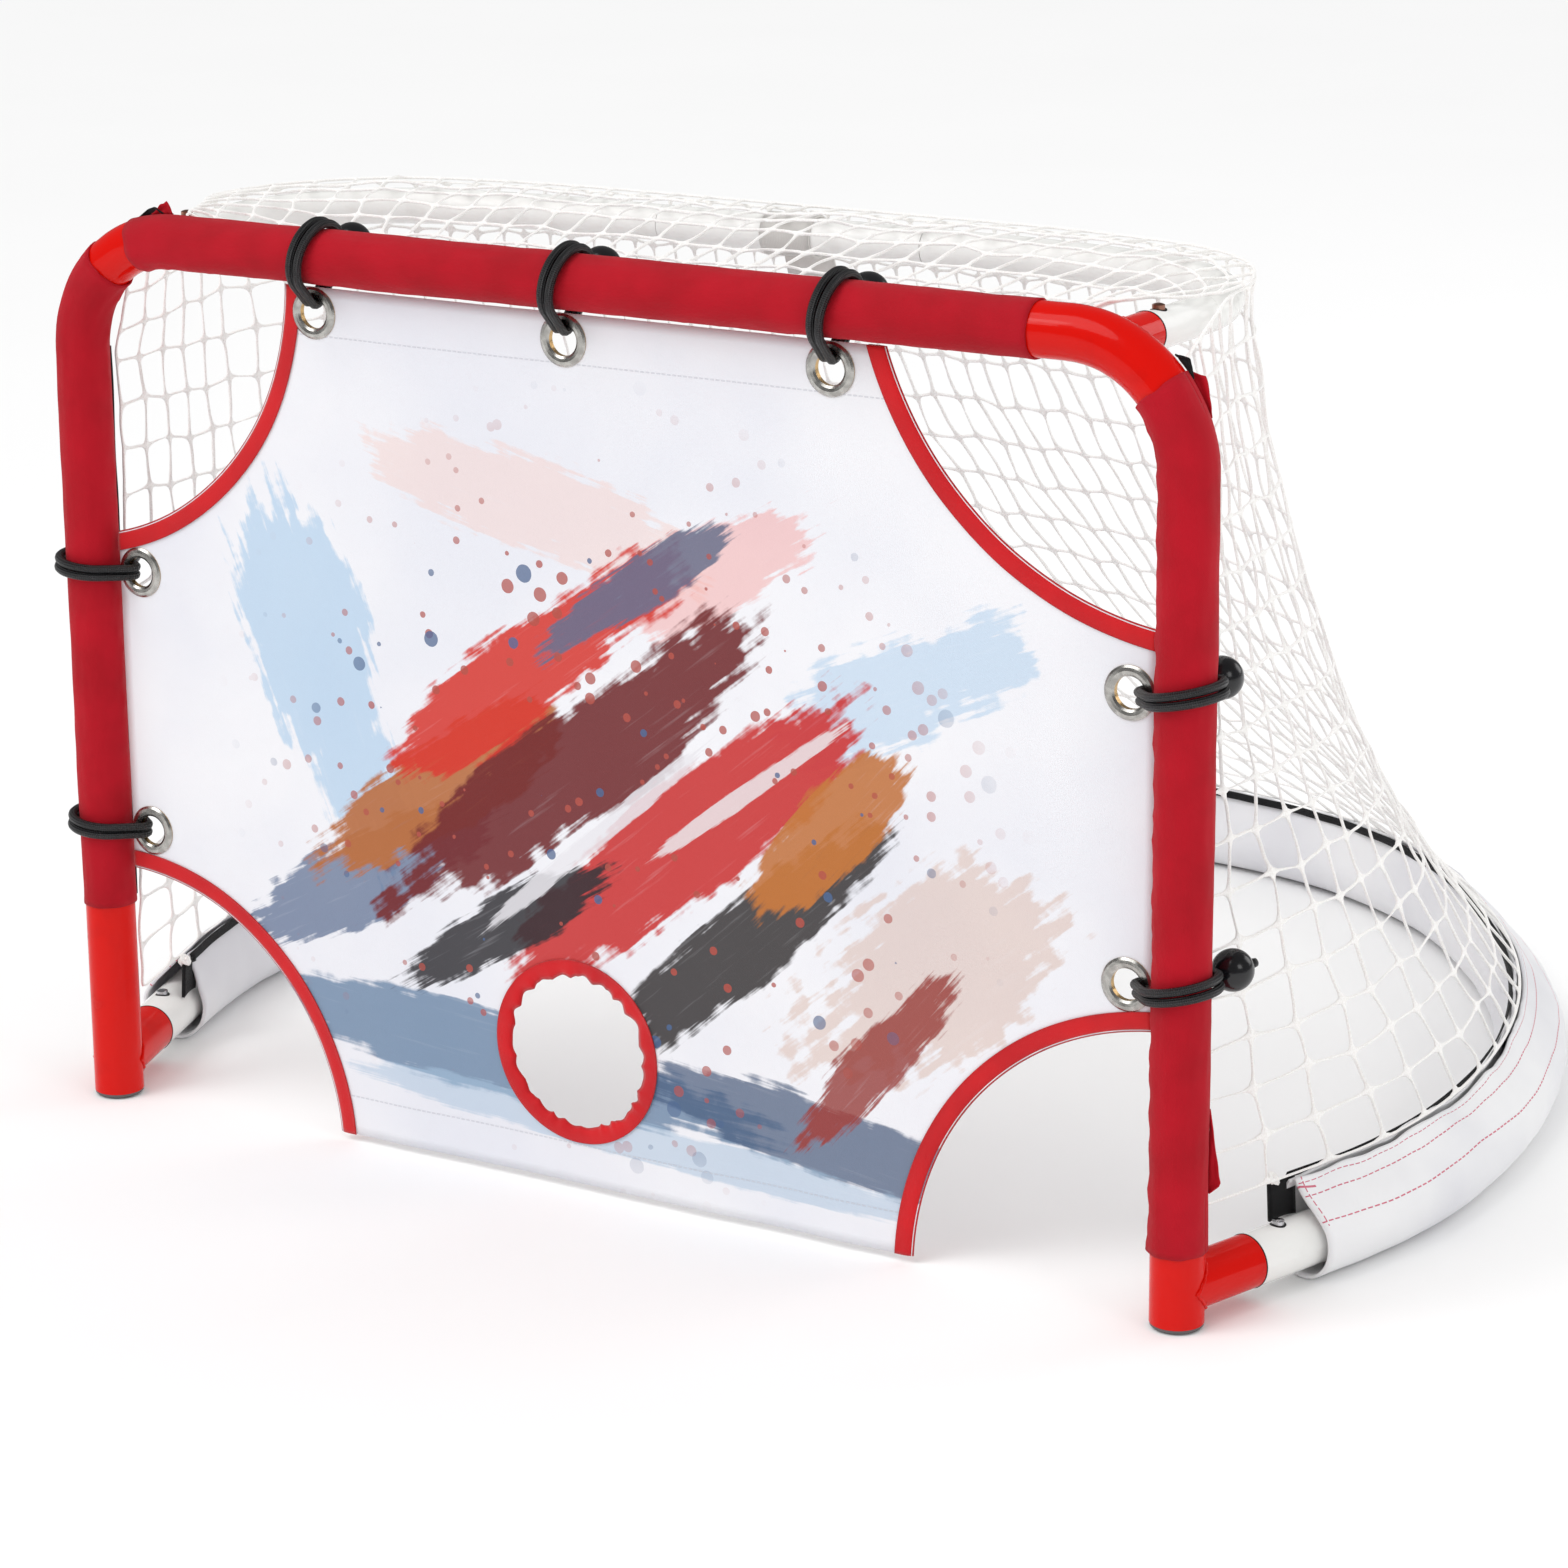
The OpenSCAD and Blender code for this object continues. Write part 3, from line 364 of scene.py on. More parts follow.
strokes = [
    # Pale washes
    stroke(-0.23, 0.34, 0.14, 0.055, 112, 0.60, rgb(0.30, 0.52, 0.74), 2.4),
    stroke(0.24, 0.20, 0.13, 0.060, 40, 0.50, rgb(0.62, 0.40, 0.30), 2.6),
    stroke(-0.06, 0.47, 0.13, 0.035, -14, 0.35, rgb(0.85, 0.50, 0.40), 2.4),
    stroke(0.22, 0.38, 0.10, 0.040, 24, 0.55, rgb(0.36, 0.56, 0.76), 2.2),
    stroke(0.08, 0.44, 0.10, 0.030, 30, 0.45, rgb(0.80, 0.22, 0.18), 2.4),
    # Ice
    stroke(-0.08, 0.085, 0.22, 0.032, -4, 0.85, rgb(0.10, 0.20, 0.34), 1.4),
    stroke(0.15, 0.075, 0.15, 0.028, -8, 0.85, rgb(0.05, 0.10, 0.20), 1.4),
    stroke(0.02, 0.045, 0.24, 0.016, -3, 0.55, rgb(0.35, 0.50, 0.66), 1.2),
    # Strong colour, all sweeping up to the right
    stroke(-0.19, 0.20, 0.11, 0.030, 28, 0.80, rgb(0.05, 0.11, 0.24), 2.2),
    stroke(-0.13, 0.27, 0.13, 0.032, 34, 0.95, rgb(0.44, 0.13, 0.018)),
    stroke(-0.02, 0.30, 0.19, 0.040, 38, 0.97, rgb(0.16, 0.006, 0.008)),
    stroke(0.06, 0.26, 0.19, 0.038, 40, 0.96, rgb(0.55, 0.010, 0.008)),
    stroke(-0.06, 0.36, 0.15, 0.034, 36, 0.96, rgb(0.62, 0.022, 0.008)),
    stroke(0.10, 0.19, 0.15, 0.028, 42, 0.95, rgb(0.022, 0.016, 0.016)),
    stroke(0.17, 0.28, 0.09, 0.026, 48, 0.95, rgb(0.50, 0.16, 0.025)),
    stroke(-0.08, 0.18, 0.10, 0.022, 32, 0.95, rgb(0.014, 0.012, 0.018)),
    stroke(0.02, 0.42, 0.10, 0.018, 34, 0.90, rgb(0.10, 0.13, 0.22)),
    stroke(0.20, 0.13, 0.09, 0.022, 50, 0.92, rgb(0.30, 0.030, 0.020)),
    stroke(-0.01, 0.25, 0.13, 0.007, 41, 0.80, rgb(0.75, 0.74, 0.78)),
    stroke(0.11, 0.30, 0.10, 0.006, 37, 0.75, rgb(0.78, 0.76, 0.78)),
]
cloud = sheet_finish.noise(5.0, 3.0).within(0.3, 0.7)
paint = sheet_finish.mix(cloud, rgb(0.76, 0.77, 0.83), rgb(0.85, 0.85, 0.88))
for share, colour in strokes:
    paint = sheet_finish.mix(share, paint, colour)
# Splashes: small drops that thin out away from the middle
far_out = (across_x * across_x * 0.8 + (up_z - 0.28) * (up_z - 0.28)).within(0.02, 0.085)
for scale, size, colour in ((52.0, 0.17, rgb(0.42, 0.07, 0.05)), (31.0, 0.13, rgb(0.06, 0.12, 0.26))):
    where = {"Vector": sheet_finish.here, "Scale": scale}
    cells = sheet_finish.add("ShaderNodeTexVoronoi", {"feature": "F1"}, where)
    drops = (cells < size * 1.2 + torn * 0.5 - 0.05) * (1.0 - far_out)
    paint = sheet_finish.mix(drops * 0.85, paint, colour)
# The back of the cloth shows the print only faintly
behind = sheet_finish.split(sheet_finish.add("ShaderNodeTexCoord", out="Normal"))[1] > 0.3
paint = sheet_finish.mix(behind * 0.82, paint, rgb(0.83, 0.83, 0.86))
hem = dashes(across_x, up_z, 0.566, 0.004, 0.0004).most(dashes(across_x, up_z, 0.033, 0.004, 0.0005))
sheet_finish.colour(sheet_finish.mix(hem * 0.5, paint, rgb(0.55, 0.56, 0.62)))
threads = weave(across_x, up_z, 0.0011)
creases = sheet_finish.noise(5.0, 2.0) * 7.0
sheet_finish.relief(threads * 0.1 + sheet_finish.noise(30.0, 3.0) * 0.7 + creases - hem * 0.7, 0.0005)
sheet_print = sheet_finish.material

# %% [markdown]
# ### The bungee's braid
# Bungee cord is rubber inside a tight black braid. Two sets of waves that cross at a slant give its pattern.

# %% The cord's finish
cord_finish = Finish("cord_black_braid", roughness=0.38, specular_ior_level=0.5)
cord_along, cord_round = cord_finish.flat_map()
braid = weave(cord_along + cord_round, cord_along - cord_round, 0.0032)
lit = braid.within(-0.2, 0.6)
cord_finish.colour(cord_finish.mix(lit, rgb(0.004, 0.004, 0.005), rgb(0.020, 0.020, 0.022)))
cord_finish.relief(braid, 0.00035)
cord_black = cord_finish.material
print("finishes:", len(bpy.data.materials))

# %% [markdown]
# ## Giving the solids their finishes
# A solid from the frame keeps its shape and place. Only its material changes.

# %% Finishes on the hard solids
HARD = {
    "front_frame": frame_red,
    "foot": foot_grey,
    "spigot": spigot_steel,
    "tube": tube_white,
    "base_button": button_steel,
    "top_button": button_bronze,
    "balls": ball_black,
    "eyelets": eyelet_nickel,
    "eyelet_washers": nickel,
}
for name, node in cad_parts.items():
    for ending, material in HARD.items():
        if name.endswith(ending):
            node.data.materials.clear()
            node.data.materials.append(material)

# %% [markdown]
# ## Cloth from a flat grid
# Everything made of cloth here starts flat, as real cloth does. `cloth` makes a grid of quads with
# `bmesh.ops.create_grid`, keeps its flat size as the piece's map, and moves each point to its place in space.


# %% Flat grid to formed cloth
def cloth(columns, rows, width, length, formed, seam=0.0):
    """A grid whose point at shares u, v of its width and length is moved to formed(u, v).

    Points nearer to each other than seam are merged, which closes a tube or a ring.
    """
    bm = bmesh.new()
    bmesh.ops.create_grid(bm, x_segments=columns, y_segments=rows, size=0.5)
    layer = bm.loops.layers.uv.new("cloth")
    for face in bm.faces:
        for loop in face.loops:
            loop[layer].uv = ((loop.vert.co.x + 0.5) * width, (loop.vert.co.y + 0.5) * length)
    for vert in bm.verts:
        vert.co = formed(vert.co.x + 0.5, vert.co.y + 0.5)
    if seam:
        bmesh.ops.remove_doubles(bm, verts=bm.verts, dist=seam)
    return bm


def piece(name, bm, material, slot, *nodes, outward=True, modifiers=()):
    """Turns a bmesh into a finished piece that rides on the goal, in place of CAD nodes."""
    if outward:
        bmesh.ops.recalc_face_normals(bm, faces=bm.faces)
    obj = mesh_object(name, bm)
    obj.data.materials.append(material)
    for kind, settings in modifiers:
        modifier = obj.modifiers.new(kind.title(), kind)
        for key, value in settings.items():
            setattr(modifier, key, value)
    if modifiers:
        seen = obj.evaluated_get(bpy.context.evaluated_depsgraph_get())
        obj.data = bpy.data.meshes.new_from_object(seen)
        obj.modifiers.clear()
    obj.data.shade_smooth()
    if nodes:
        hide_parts(*nodes)
    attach(obj, "goal")
    return obj


def thick(size, offset=0.0):
    return ("SOLIDIFY", {"thickness": size, "offset": offset, "use_even_offset": False})


ROUNDER = ("SUBSURF", {"levels": 1, "render_levels": 1})

# %% [markdown]
# ## Routes of the bow and the base
# Both white tubes are chains of straights and bends, so one function walks along a chain and gives a point
# beside it. The net, the skirt and the strap all follow these two routes.

# %% Walking along a route
# Half the mouth's width, its height, the base's depth and the base tube's height, all between axes
MOUTH, TALL, REACH, BASE_Z = 420.0, 620.0, 880.0, 25.0
# The radius of the frame's corners, and where the bow is behind the crossbar and above the floor
CORNER = 80.0
BOW_DEEP, BOW_Z = 248.0, 614.94
SIDES = ((-1, "left"), (1, "right"))


def along_route(route, s, out=0.0):
    """A point of a route, a distance s along it and out beside it, from its rear middle."""
    x = y = heading = 0.0
    for straight, turn, bend in route:
        c, n = math.cos(heading), math.sin(heading)
        if s <= straight:
            return x + s * c + out * n, y - s * n + out * c
        x, y, s = x + straight * c, y - straight * n, s - straight
        part = min(math.radians(turn), s / max(bend, 0.01))
        c2, n2 = math.cos(heading + part), math.sin(heading + part)
        x, y = x + bend * (n2 - n), y + bend * (c2 - c)
        heading, s = heading + part, s - bend * math.radians(turn)
        if s <= 0:
            break
    return x + out * math.sin(heading), y + out * math.cos(heading)


def route_length(route):
    return sum(straight + bend * math.radians(turn) for straight, turn, bend in route)


# Each step is a straight, then a turn in degrees and the radius of its bend
BASE = [(4.0, 52.0, 399.48), (50.0, 38.0, 653.08), (4.0, 18.0, 452.77), (148.34, 0.0, 1.0)]
BOW = [(104.0, 0.0, 1.0), (45.0, 10.0, 600.0), (19.95, 82.0, 120.0)]
BOW_LONG = route_length(BOW)
BASE_LONG = route_length(BASE) - 26.45
print("bow net", round(BOW_LONG), "mm, base net", round(BASE_LONG), "mm")

# %% [markdown]
# ## The net
# A knotted net is cords in two directions. It hangs over the bow and is tied to the skirt, so it is bunched
# at the top and spread at the bottom, and it sags inwards between. The Wireframe modifier turns the edges of
# a formed grid into cords, and one level of subdivision rounds the cords and thickens the knots.

# %% The net's hanging surface
# How far the net lies outside the bow's axis, and how far its hanging edge is below the top
OVER, EDGE_DROP = 18.5, 3.4
NET_TOP = BOW_Z + OVER
# The net's knots on the skirt's standing edge, and its line behind the crossbar
SKIRT_TOP = 69.4
FRONT_Y, ROOF_HALF = 26.45, 345
ROOF_LOW = TALL - 20.0
# How far the net's edge is tucked in behind a post, and the radius of its cord
TUCK, CORD_R = 17, 1.5
# Where the net's front edge is laced, in the middle of the frame's corner bend
LACED = Vector((MOUTH - CORNER * (1 - math.sqrt(0.5)), FRONT_Y, TALL - CORNER * (1 - math.sqrt(0.5))))
# The knots are this far inside the base's axis. The power makes the net fall steeply and then spread.
SKIRT_LEAN, NET_FALL = 9.0, 1.6


def net_top(c):
    x, y = along_route(BOW, min(c, 12) / 12 * BOW_LONG, OVER)
    edge = Vector((x, BOW_DEEP + y, NET_TOP - EDGE_DROP))
    return edge if c <= 12 else edge.lerp(LACED, (c - 12) / 4)


def net_low(c):
    x, y = along_route(BASE, c / 16 * BASE_LONG, -SKIRT_LEAN)
    return Vector((x, REACH + y, SKIRT_TOP))


def back_net(c, v):
    """The back and sides: c from 0 at the strap to 16 at a post, v from 0 at the bow to 1 at the skirt."""
    top, low = net_top(c), net_low(c)
    point = top.lerp(low, v ** NET_FALL)
    # The edge beside a post is tucked behind it, and its rows are level below the first few
    point.x += max(0, c - 12) / 4 * TUCK * min(1, 6 * v) * (1 - v)
    row_z = NET_TOP - EDGE_DROP + (low.z - NET_TOP + EDGE_DROP) * v
    point.z = row_z + (top.z - NET_TOP + EDGE_DROP) * max(0, 1 - 5 * v)
    return point


def roof_net(c, v):
    """The roof: c from -12 to 12 across, v from 0 at the crossbar to 1 at the bow."""
    side = -1 if c < 0 else 1
    x, y = along_route(BOW, abs(c) / 12 * BOW_LONG, OVER)
    rise = max(0, (abs(c) - 9) / 3)
    near = Vector((side * abs(c) / 12 * ROOF_HALF, FRONT_Y, ROOF_LOW + (NET_TOP - ROOF_LOW) * rise))
    point = near.lerp(Vector((side * x, BOW_DEEP + y, NET_TOP)), v)
    point.z = near.z + (NET_TOP - near.z) * min(1, 1.5 * v)
    return point


# Blender starts its vector noise from the clock, unless it is given a seed
noise.seed_set(1)


def uneven(point, size, scale=0.02):
    """A smooth random shift, the same each run, so that no two meshes of the net are alike."""
    return point + Vector(noise.noise_vector(point * scale)) * size


PARTS = 3


def knotted(columns, rows, width, length, surface):
    """A grid of meshes. Each cord has PARTS pieces between two knots, so that it can bend."""

    def formed(u, v):
        i, j = round(u * columns * PARTS), round(v * rows * PARTS)
        if j in (0, rows * PARTS):
            return at(*surface(u, v))
        # A knot is pulled to one side and its neighbours to the other, as the cords run through it
        knot = i % PARTS == 0 and j % PARTS == 0
        pull = (0.06 if (i + j) // PARTS % 2 else -0.06) if knot else 0.0
        point = surface(min(max(u + pull / columns, 0), 1), min(max(v + pull / rows, 0), 1))
        return at(*uneven(uneven(point, 3.6), 1.2, 0.09))

    bm = cloth(columns * PARTS, rows * PARTS, width, length, formed)
    bm.verts.index_update()
    wide = columns * PARTS + 1
    middles = [v for v in bm.verts if v.index % wide % PARTS and v.index // wide % PARTS]
    bmesh.ops.dissolve_verts(bm, verts=middles)
    return bm


# %% The net's cords
CORD_NET = ("WIREFRAME", {"thickness": 0.0031, "use_even_offset": False, "use_boundary": True})
for side, label in SIDES:

    def hung(u, v, side=side):
        # The columns stand wider apart towards the post
        p = back_net(12.4 * u + 3.6 * u**4, v)
        return Vector((side * p.x, p.y, p.z - CORD_R))

    bm = knotted(29, 17, 1.1, 0.8, hung)
    names = [f"{label}_net_{part}" for part in ("side", "corner", "quarter", "back")]
    net = piece(
        f"{label}_net", bm, net_white, "net_white", *names, outward=False, modifiers=[CORD_NET, ROUNDER])
    print(net.name, "has", len(net.data.polygons), "faces")


def roofed(u, v):
    p = roof_net(u * 24 - 12, v)
    p.z -= CORD_R
    return p


roof = piece(
    "roof_net", knotted(34, 8, 0.9, 0.24, roofed), net_white, "net_white", "net_roof",
    outward=False, modifiers=[CORD_NET, ROUNDER],
)
print(roof.name, "has", len(roof.data.polygons), "faces")

# %% [markdown]
# ## Sleeves
# Each sleeve is a strip of nylon wrapped round the steel and closed at the back. It is a tube with wrinkles
# that run mostly along it, short pleats beside its seam, and wavy ends that stand a little off the steel.


# %% Wrapping a sleeve round the frame
def post_line(side, start, low):
    """The axis from an angle in the corner down a post, as a function of the distance, and its length."""
    arc = CORNER * math.radians(90 - start)
    bend = TALL - CORNER
    length = arc + bend - low

    def walk(s):
        if s < arc:
            a = math.radians(start) + s / CORNER
            out = Vector((side * math.sin(a), 0, math.cos(a)))
            return Vector((side * (MOUTH - CORNER), 0, bend)) + out * CORNER, out
        return Vector((side * MOUTH, 0, bend + arc - s)), Vector((side, 0, 0))

    return walk, length


def bar_line(bend, right):
    """The crossbar's axis from the left corner to the bare right end."""
    arc = CORNER * math.radians(bend)
    left = MOUTH - CORNER
    length = arc + left + right

    def walk(s):
        if s < arc:
            a = math.radians(bend) - s / CORNER
            out = Vector((-math.sin(a), 0, math.cos(a)))
            return Vector((-left, 0, TALL - CORNER)) + out * CORNER, out
        return Vector((s - arc - left, 0, TALL)), Vector((0, 0, 1))

    return walk, length


REAR = Vector((0, 1, 0))
SLEEVE_R = 18.5


def wrapped_sleeve(name, walk, length, node, seam):
    """A sleeve along a walk; seam is the angle in radians, from the outside to the rear, of its pleats."""

    def formed(u, v):
        s = u * length
        angle = v * 2 * math.pi
        folds = noise.noise(Vector((math.cos(angle) * 1.6, math.sin(angle) * 1.6, s * 0.012)))
        fine = noise.noise(Vector((math.cos(angle) * 4, math.sin(angle) * 4, s * 0.05 + 9)))
        end = min(s, length - s)
        lift = 0.3 * math.exp(-end / 7)
        pleat = max(0, 0.5 + 1.6 * noise.noise(Vector((s * 0.08, 2, 0))))
        lift += 1.1 * pleat * math.exp(-(((angle - seam) / 0.22) ** 2))
        r = SLEEVE_R + 0.6 * folds + 0.45 * fine + lift
        edge = 2.0 * noise.noise(Vector((angle * 1.3, s * 0.03, 4))) * math.exp(-end / 12)
        centre, out = walk(min(max(s + edge, 0), length))
        point = centre + out * (r * math.cos(angle)) + REAR * (r * math.sin(angle))
        return at(*point)

    bm = cloth(int(length / 5), 56, length * MM, 0.117, formed, 0.00005)
    piece(name, bm, sleeve_red, "sleeve_red", node, modifiers=[thick(0.0012, -1.0)])
    print(name, "is", round(length), "mm long")


bar_walk, bar_long = bar_line(18, 319)
left_walk, left_long = post_line(-1, 40, 143)
right_walk, right_long = post_line(1, 50, 50)
wrapped_sleeve("crossbar_cloth", bar_walk, bar_long, "crossbar_sleeve", 2.95)
wrapped_sleeve("left_post_cloth", left_walk, left_long, "left_post_sleeve", 2.9)
wrapped_sleeve("right_post_cloth", right_walk, right_long, "right_post_sleeve", 3.6)

# %% [markdown]
# ## Hook and loop strips
# Narrow black strips close the sleeves behind the steel and hold the skirt's edge.


# %% The strips
STRIP_WIDE = 16.0
STRIP_TOP = 539.0


def strip(name, node, length, middle, across):
    """A strip behind the steel: middle(s) is the steel's axis and across the way that the strip is wide."""

    def formed(u, v):
        s = u * length
        wave = 0.8 * noise.noise(Vector((s * 0.02, 0, 0)))
        return at(*(middle(s) + across * ((v - 0.5) * STRIP_WIDE + wave) + REAR * (20.1 + 0.3 * wave)))

    bm = cloth(int(length / 8), 3, length * MM, STRIP_WIDE * MM, formed)
    piece(name, bm, strip_black, "strip_black", node, modifiers=[thick(0.0012)])


strip("crossbar_closing", "crossbar_strip", 317, lambda s: Vector((s + 1, 0, TALL)), Vector((0, 0, 1)))
for side, label, length in ((-1, "left", 395), (1, "right", 488)):
    strip(
        f"{label}_post_closing", f"{label}_post_strip", length,
        lambda s, side=side: Vector((side * MOUTH, 0, STRIP_TOP - s)), Vector((1, 0, 0)))

# %% [markdown]
# ## Loose ends of the sleeves
# The sleeves are longer than the tube they cover, so small tails of cloth and of hook tape stand off at their
# ends, between the back and the outside of the frame.


# %% Tails
def tail(name, walk, start, length, rise, material, slot, turn, seed, peak):
    """A ragged flap that stands off a sleeve, from a distance along it.

    turn is 0 behind the sleeve and 90 outside it, and peak is the share of the length at which it is highest.
    """
    turn = math.radians(turn)

    def formed(u, v):
        s = start + length * u
        centre, out = walk(s)
        ragged = 1 + 0.25 * noise.noise(Vector((u * 4, seed, 1)))
        height = SLEEVE_R + 0.1 + rise * v * min(u / peak, (1 - u) / (1 - peak)) * ragged
        angle = turn + 0.09 * noise.noise(Vector((u * 3, v * 2, seed))) + 0.12 * v
        return at(*(centre + (REAR * math.cos(angle) + out * math.sin(angle)) * height))

    bm = cloth(24, 6, length * MM, rise * MM, formed)
    piece(name, bm, material, slot, modifiers=[thick(0.0011)])


tail("right_top_tail", right_walk, 0, 26, 7, sleeve_red, "sleeve_red", 50, 1.0, 0.25)
tail("right_top_hook", right_walk, -10, 15, 5, strip_black, "strip_black", 62, 2.0, 0.4)
tail("right_low_tail", right_walk, right_long - 92, 55, 7, sleeve_red, "sleeve_red", 52, 3.0, 0.9)
tail("left_top_tail", bar_walk, 10, 14, 9, sleeve_red, "sleeve_red", 68, 4.0, 0.7)
tail("left_top_hook", bar_walk, 0, 18, 6, strip_black, "strip_black", 66, 5.0, 0.6)

# %% [markdown]
# ## Welds
# Each stub is welded to the frame. The bead follows the line where the stub's cylinder meets the frame's,
# which is found by halving: the bead's centre is as far from the frame's axis as the frame's surface.


# %% Weld beads
def off_frame(p):
    """How far a point is from the frame's axis."""
    x = abs(p.x) - (MOUTH - CORNER)
    z = p.z - (TALL - CORNER)
    if z < 0:
        return math.hypot(x - CORNER, p.y)
    return math.hypot(math.hypot(x, z) - CORNER, p.y)


def weld(name, x, z, radius, flare):
    side = 1 if x > 0 else -1
    turn = math.radians(flare)
    axis = Vector((side * math.sin(turn), math.cos(turn), 0))
    level = Vector((axis.y, -axis.x, 0))

    def formed(u, v):
        a, w = 2 * math.pi * u, 2 * math.pi * v
        out = level * math.cos(a) + Vector((0, 0, math.sin(a)))
        near, far = 0.0, 30.0
        for _ in range(24):
            middle = (near + far) / 2
            inside = off_frame(Vector((x, 0, z)) + axis * middle + out * radius) < STEEL_R
            near, far = (middle, far) if inside else (near, middle)
        bead = 1.7 + 0.25 * math.sin(a * 22)
        point = Vector((x, 0, z)) + axis * (near + bead * math.sin(w)) + out * (radius + bead * math.cos(w))
        return at(*point)

    piece(name, cloth(132, 8, 0.1, 0.01, formed, 0.00002), frame_red, "frame_red")


# %% [markdown]
# ### Painted shade in the gaps
# A gap between two parts shows as a dark line of shade. Thin black rings paint that shade where a white tube
# meets its stub and where a snap button stands in its hole.


# %% Painted shade rings at the stub ends and round the button holes
HOLE_R = 4.3
# The stubs: how far out the upper ones are, their radius, and how many degrees each pair flares outwards
TOP_STUB_X, TOP_STUB_R = 368, 13.5
BASE_FLARE, TOP_FLARE = 18, 2


def rim(name, x, z, radius, flare, reach):
    """Painted shade for the gap where a white tube meets the end of its stub, reach behind the frame's axis.
    """
    turn = math.radians(flare)
    side = 1 if x > 0 else -1
    place = at(x + side * reach * math.sin(turn), reach * math.cos(turn), z)
    bm = bmesh.new()
    ring = bmesh.ops.create_circle(bm, cap_ends=False, segments=12, radius=0.55 * MM)
    bmesh.ops.translate(bm, verts=ring["verts"], vec=(radius * MM, 0, 0))
    bmesh.ops.rotate(bm, verts=ring["verts"], matrix=Matrix.Rotation(math.pi / 2, 3, "X"))
    bmesh.ops.spin(
        bm, geom=bm.edges[:], angle=2 * math.pi, steps=96, axis=(0, 0, 1), cent=(0, 0, 0), use_merge=True)
    lie = Matrix.Rotation(-side * turn, 4, "Z") @ Matrix.Rotation(math.pi / 2, 4, "X")
    bmesh.ops.transform(bm, matrix=Matrix.Translation(place) @ lie, verts=bm.verts)
    piece(name, bm, strip_black, "strip_black")


def hole_shade(label, axis_z, flare):
    """Painted shade for the gap round the hole that a snap button stands in, laid on the tube's round top."""
    low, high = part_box(f"{label}_button")
    middle = (low + high) / 2
    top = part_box(f"{label}_tube".replace("top", "bow"))[1].z
    radius = top - axis_z * MM
    turn = math.copysign(math.radians(flare), middle.x)

    def formed(u, v):
        a = 2 * math.pi * u
        off = Vector((math.cos(a), math.sin(a), 0)) * (HOLE_R + v) * MM
        lateral = off.x * math.cos(turn) - off.y * math.sin(turn)
        drop = radius - math.sqrt(radius**2 - lateral**2)
        return Vector((middle.x + off.x, middle.y + off.y, top - drop + 0.35 * MM * math.sin(math.pi * v)))

    piece(f"{label}_hole_shade", cloth(48, 4, 0.03, 0.001, formed, 0.00002), strip_black, "strip_black")


for side, label in SIDES:
    # Black rings of painted shade round the holes that the snap buttons stand in
    hole_shade(f"{label}_base", BASE_Z, BASE_FLARE)
    hole_shade(f"{label}_top", BOW_Z, TOP_FLARE)
    weld(f"{label}_base_weld", side * MOUTH, BASE_Z, STEEL_R, BASE_FLARE)
    weld(f"{label}_top_weld", side * TOP_STUB_X, BOW_Z, TOP_STUB_R, TOP_FLARE)
    # Black rings of painted shade for the dark gaps where the white tubes meet their stubs
    rim(f"{label}_base_rim_shade", side * MOUTH, BASE_Z, 17.3, BASE_FLARE, 63)
    rim(f"{label}_top_rim_shade", side * TOP_STUB_X, BOW_Z, 13.3, TOP_FLARE, 42)

# %% [markdown]
# ## The padded skirt
# One long cover is folded round the base tube. Its section goes from the standing edge down the outside,
# under the tube and up the inside. Sweeping that section along the base with small random swells gives the
# slack look of a stuffed cover.

# %% The skirt
# The base tube is bare for this long at each end of its route
BARE_END = 113.0
SKIRT_END = route_length(BASE) - BARE_END


def skirt_section(share, swell):
    """A point of the cover's section, out and up from the tube's axis, as share goes once round it."""
    steps = [
        (-5.4, 40.5), (-1.5, 35.5), (6.0, 28.3), (15.5, 19.6), (23.0, 10.0), (25.0, 0.0), (23.0, -9.8),
        (17.2, -18.2), (9.0, -23.4), (0.0, -24.9), (-9.0, -23.4), (-17.2, -18.2), (-23.0, -9.8),
        (-25.0, 0.0), (-23.8, 8.0), (-20.6, 17.5), (-17.4, 27.0), (-14.4, 35.5), (-12.4, 40.5),
    ]
    place = share * (len(steps) - 1)
    i = min(int(place), len(steps) - 2)
    a, b, t = Vector(steps[i]), Vector(steps[i + 1]), place - i
    before, after = Vector(steps[max(i - 1, 0)]), Vector(steps[min(i + 2, len(steps) - 1)])
    square = 2 * before - 5 * a + 4 * b - after
    cube = 3 * a - before - 3 * b + after
    curve = 0.5 * (2 * a + (b - before) * t + square * t * t + cube * t**3)
    return curve * (1 + swell)


def skirted(u, v):
    s = (2 * u - 1) * SKIRT_END
    side = 1 if s > 0 else -1
    low = abs(v - 0.5) * 2
    swell = 0.10 * noise.noise(Vector((s * 0.011, v * 5, 1)))
    swell += 0.045 * noise.noise(Vector((s * 0.04, v * 9, 5)))
    out, up = skirt_section(v, swell * min(1, 1.6 * low))
    lean = 1.8 * noise.noise(Vector((s * 0.012, 0, 7))) * max(0, up) / 40
    top = 5.0 * noise.noise(Vector((s * 0.014, 3, 0))) * max(0, (up - 25) / 16)
    x, y = along_route(BASE, abs(s), out + lean)
    return at(side * x, REACH + y, max(0.15, BASE_Z + up + top))


bm = cloth(360, 54, 2 * SKIRT_END * MM, 0.185, skirted)
skirt_cover = piece(
    "skirt_cover", bm, skirt_white, "skirt_white", "base_skirt", modifiers=[thick(0.0022, -1.0)])
print("skirt is", round(2 * SKIRT_END), "mm long")


def edge_strip(u, v):
    s = (2 * u - 1) * (SKIRT_END - 1)
    side = 1 if s > 0 else -1
    x, y = along_route(BASE, abs(s), -16.4 + 2.4 * v)
    return at(side * x, REACH + y, 61.8 + 5.2 * v + 1.2 * noise.noise(Vector((s * 0.02, 3, 0))))


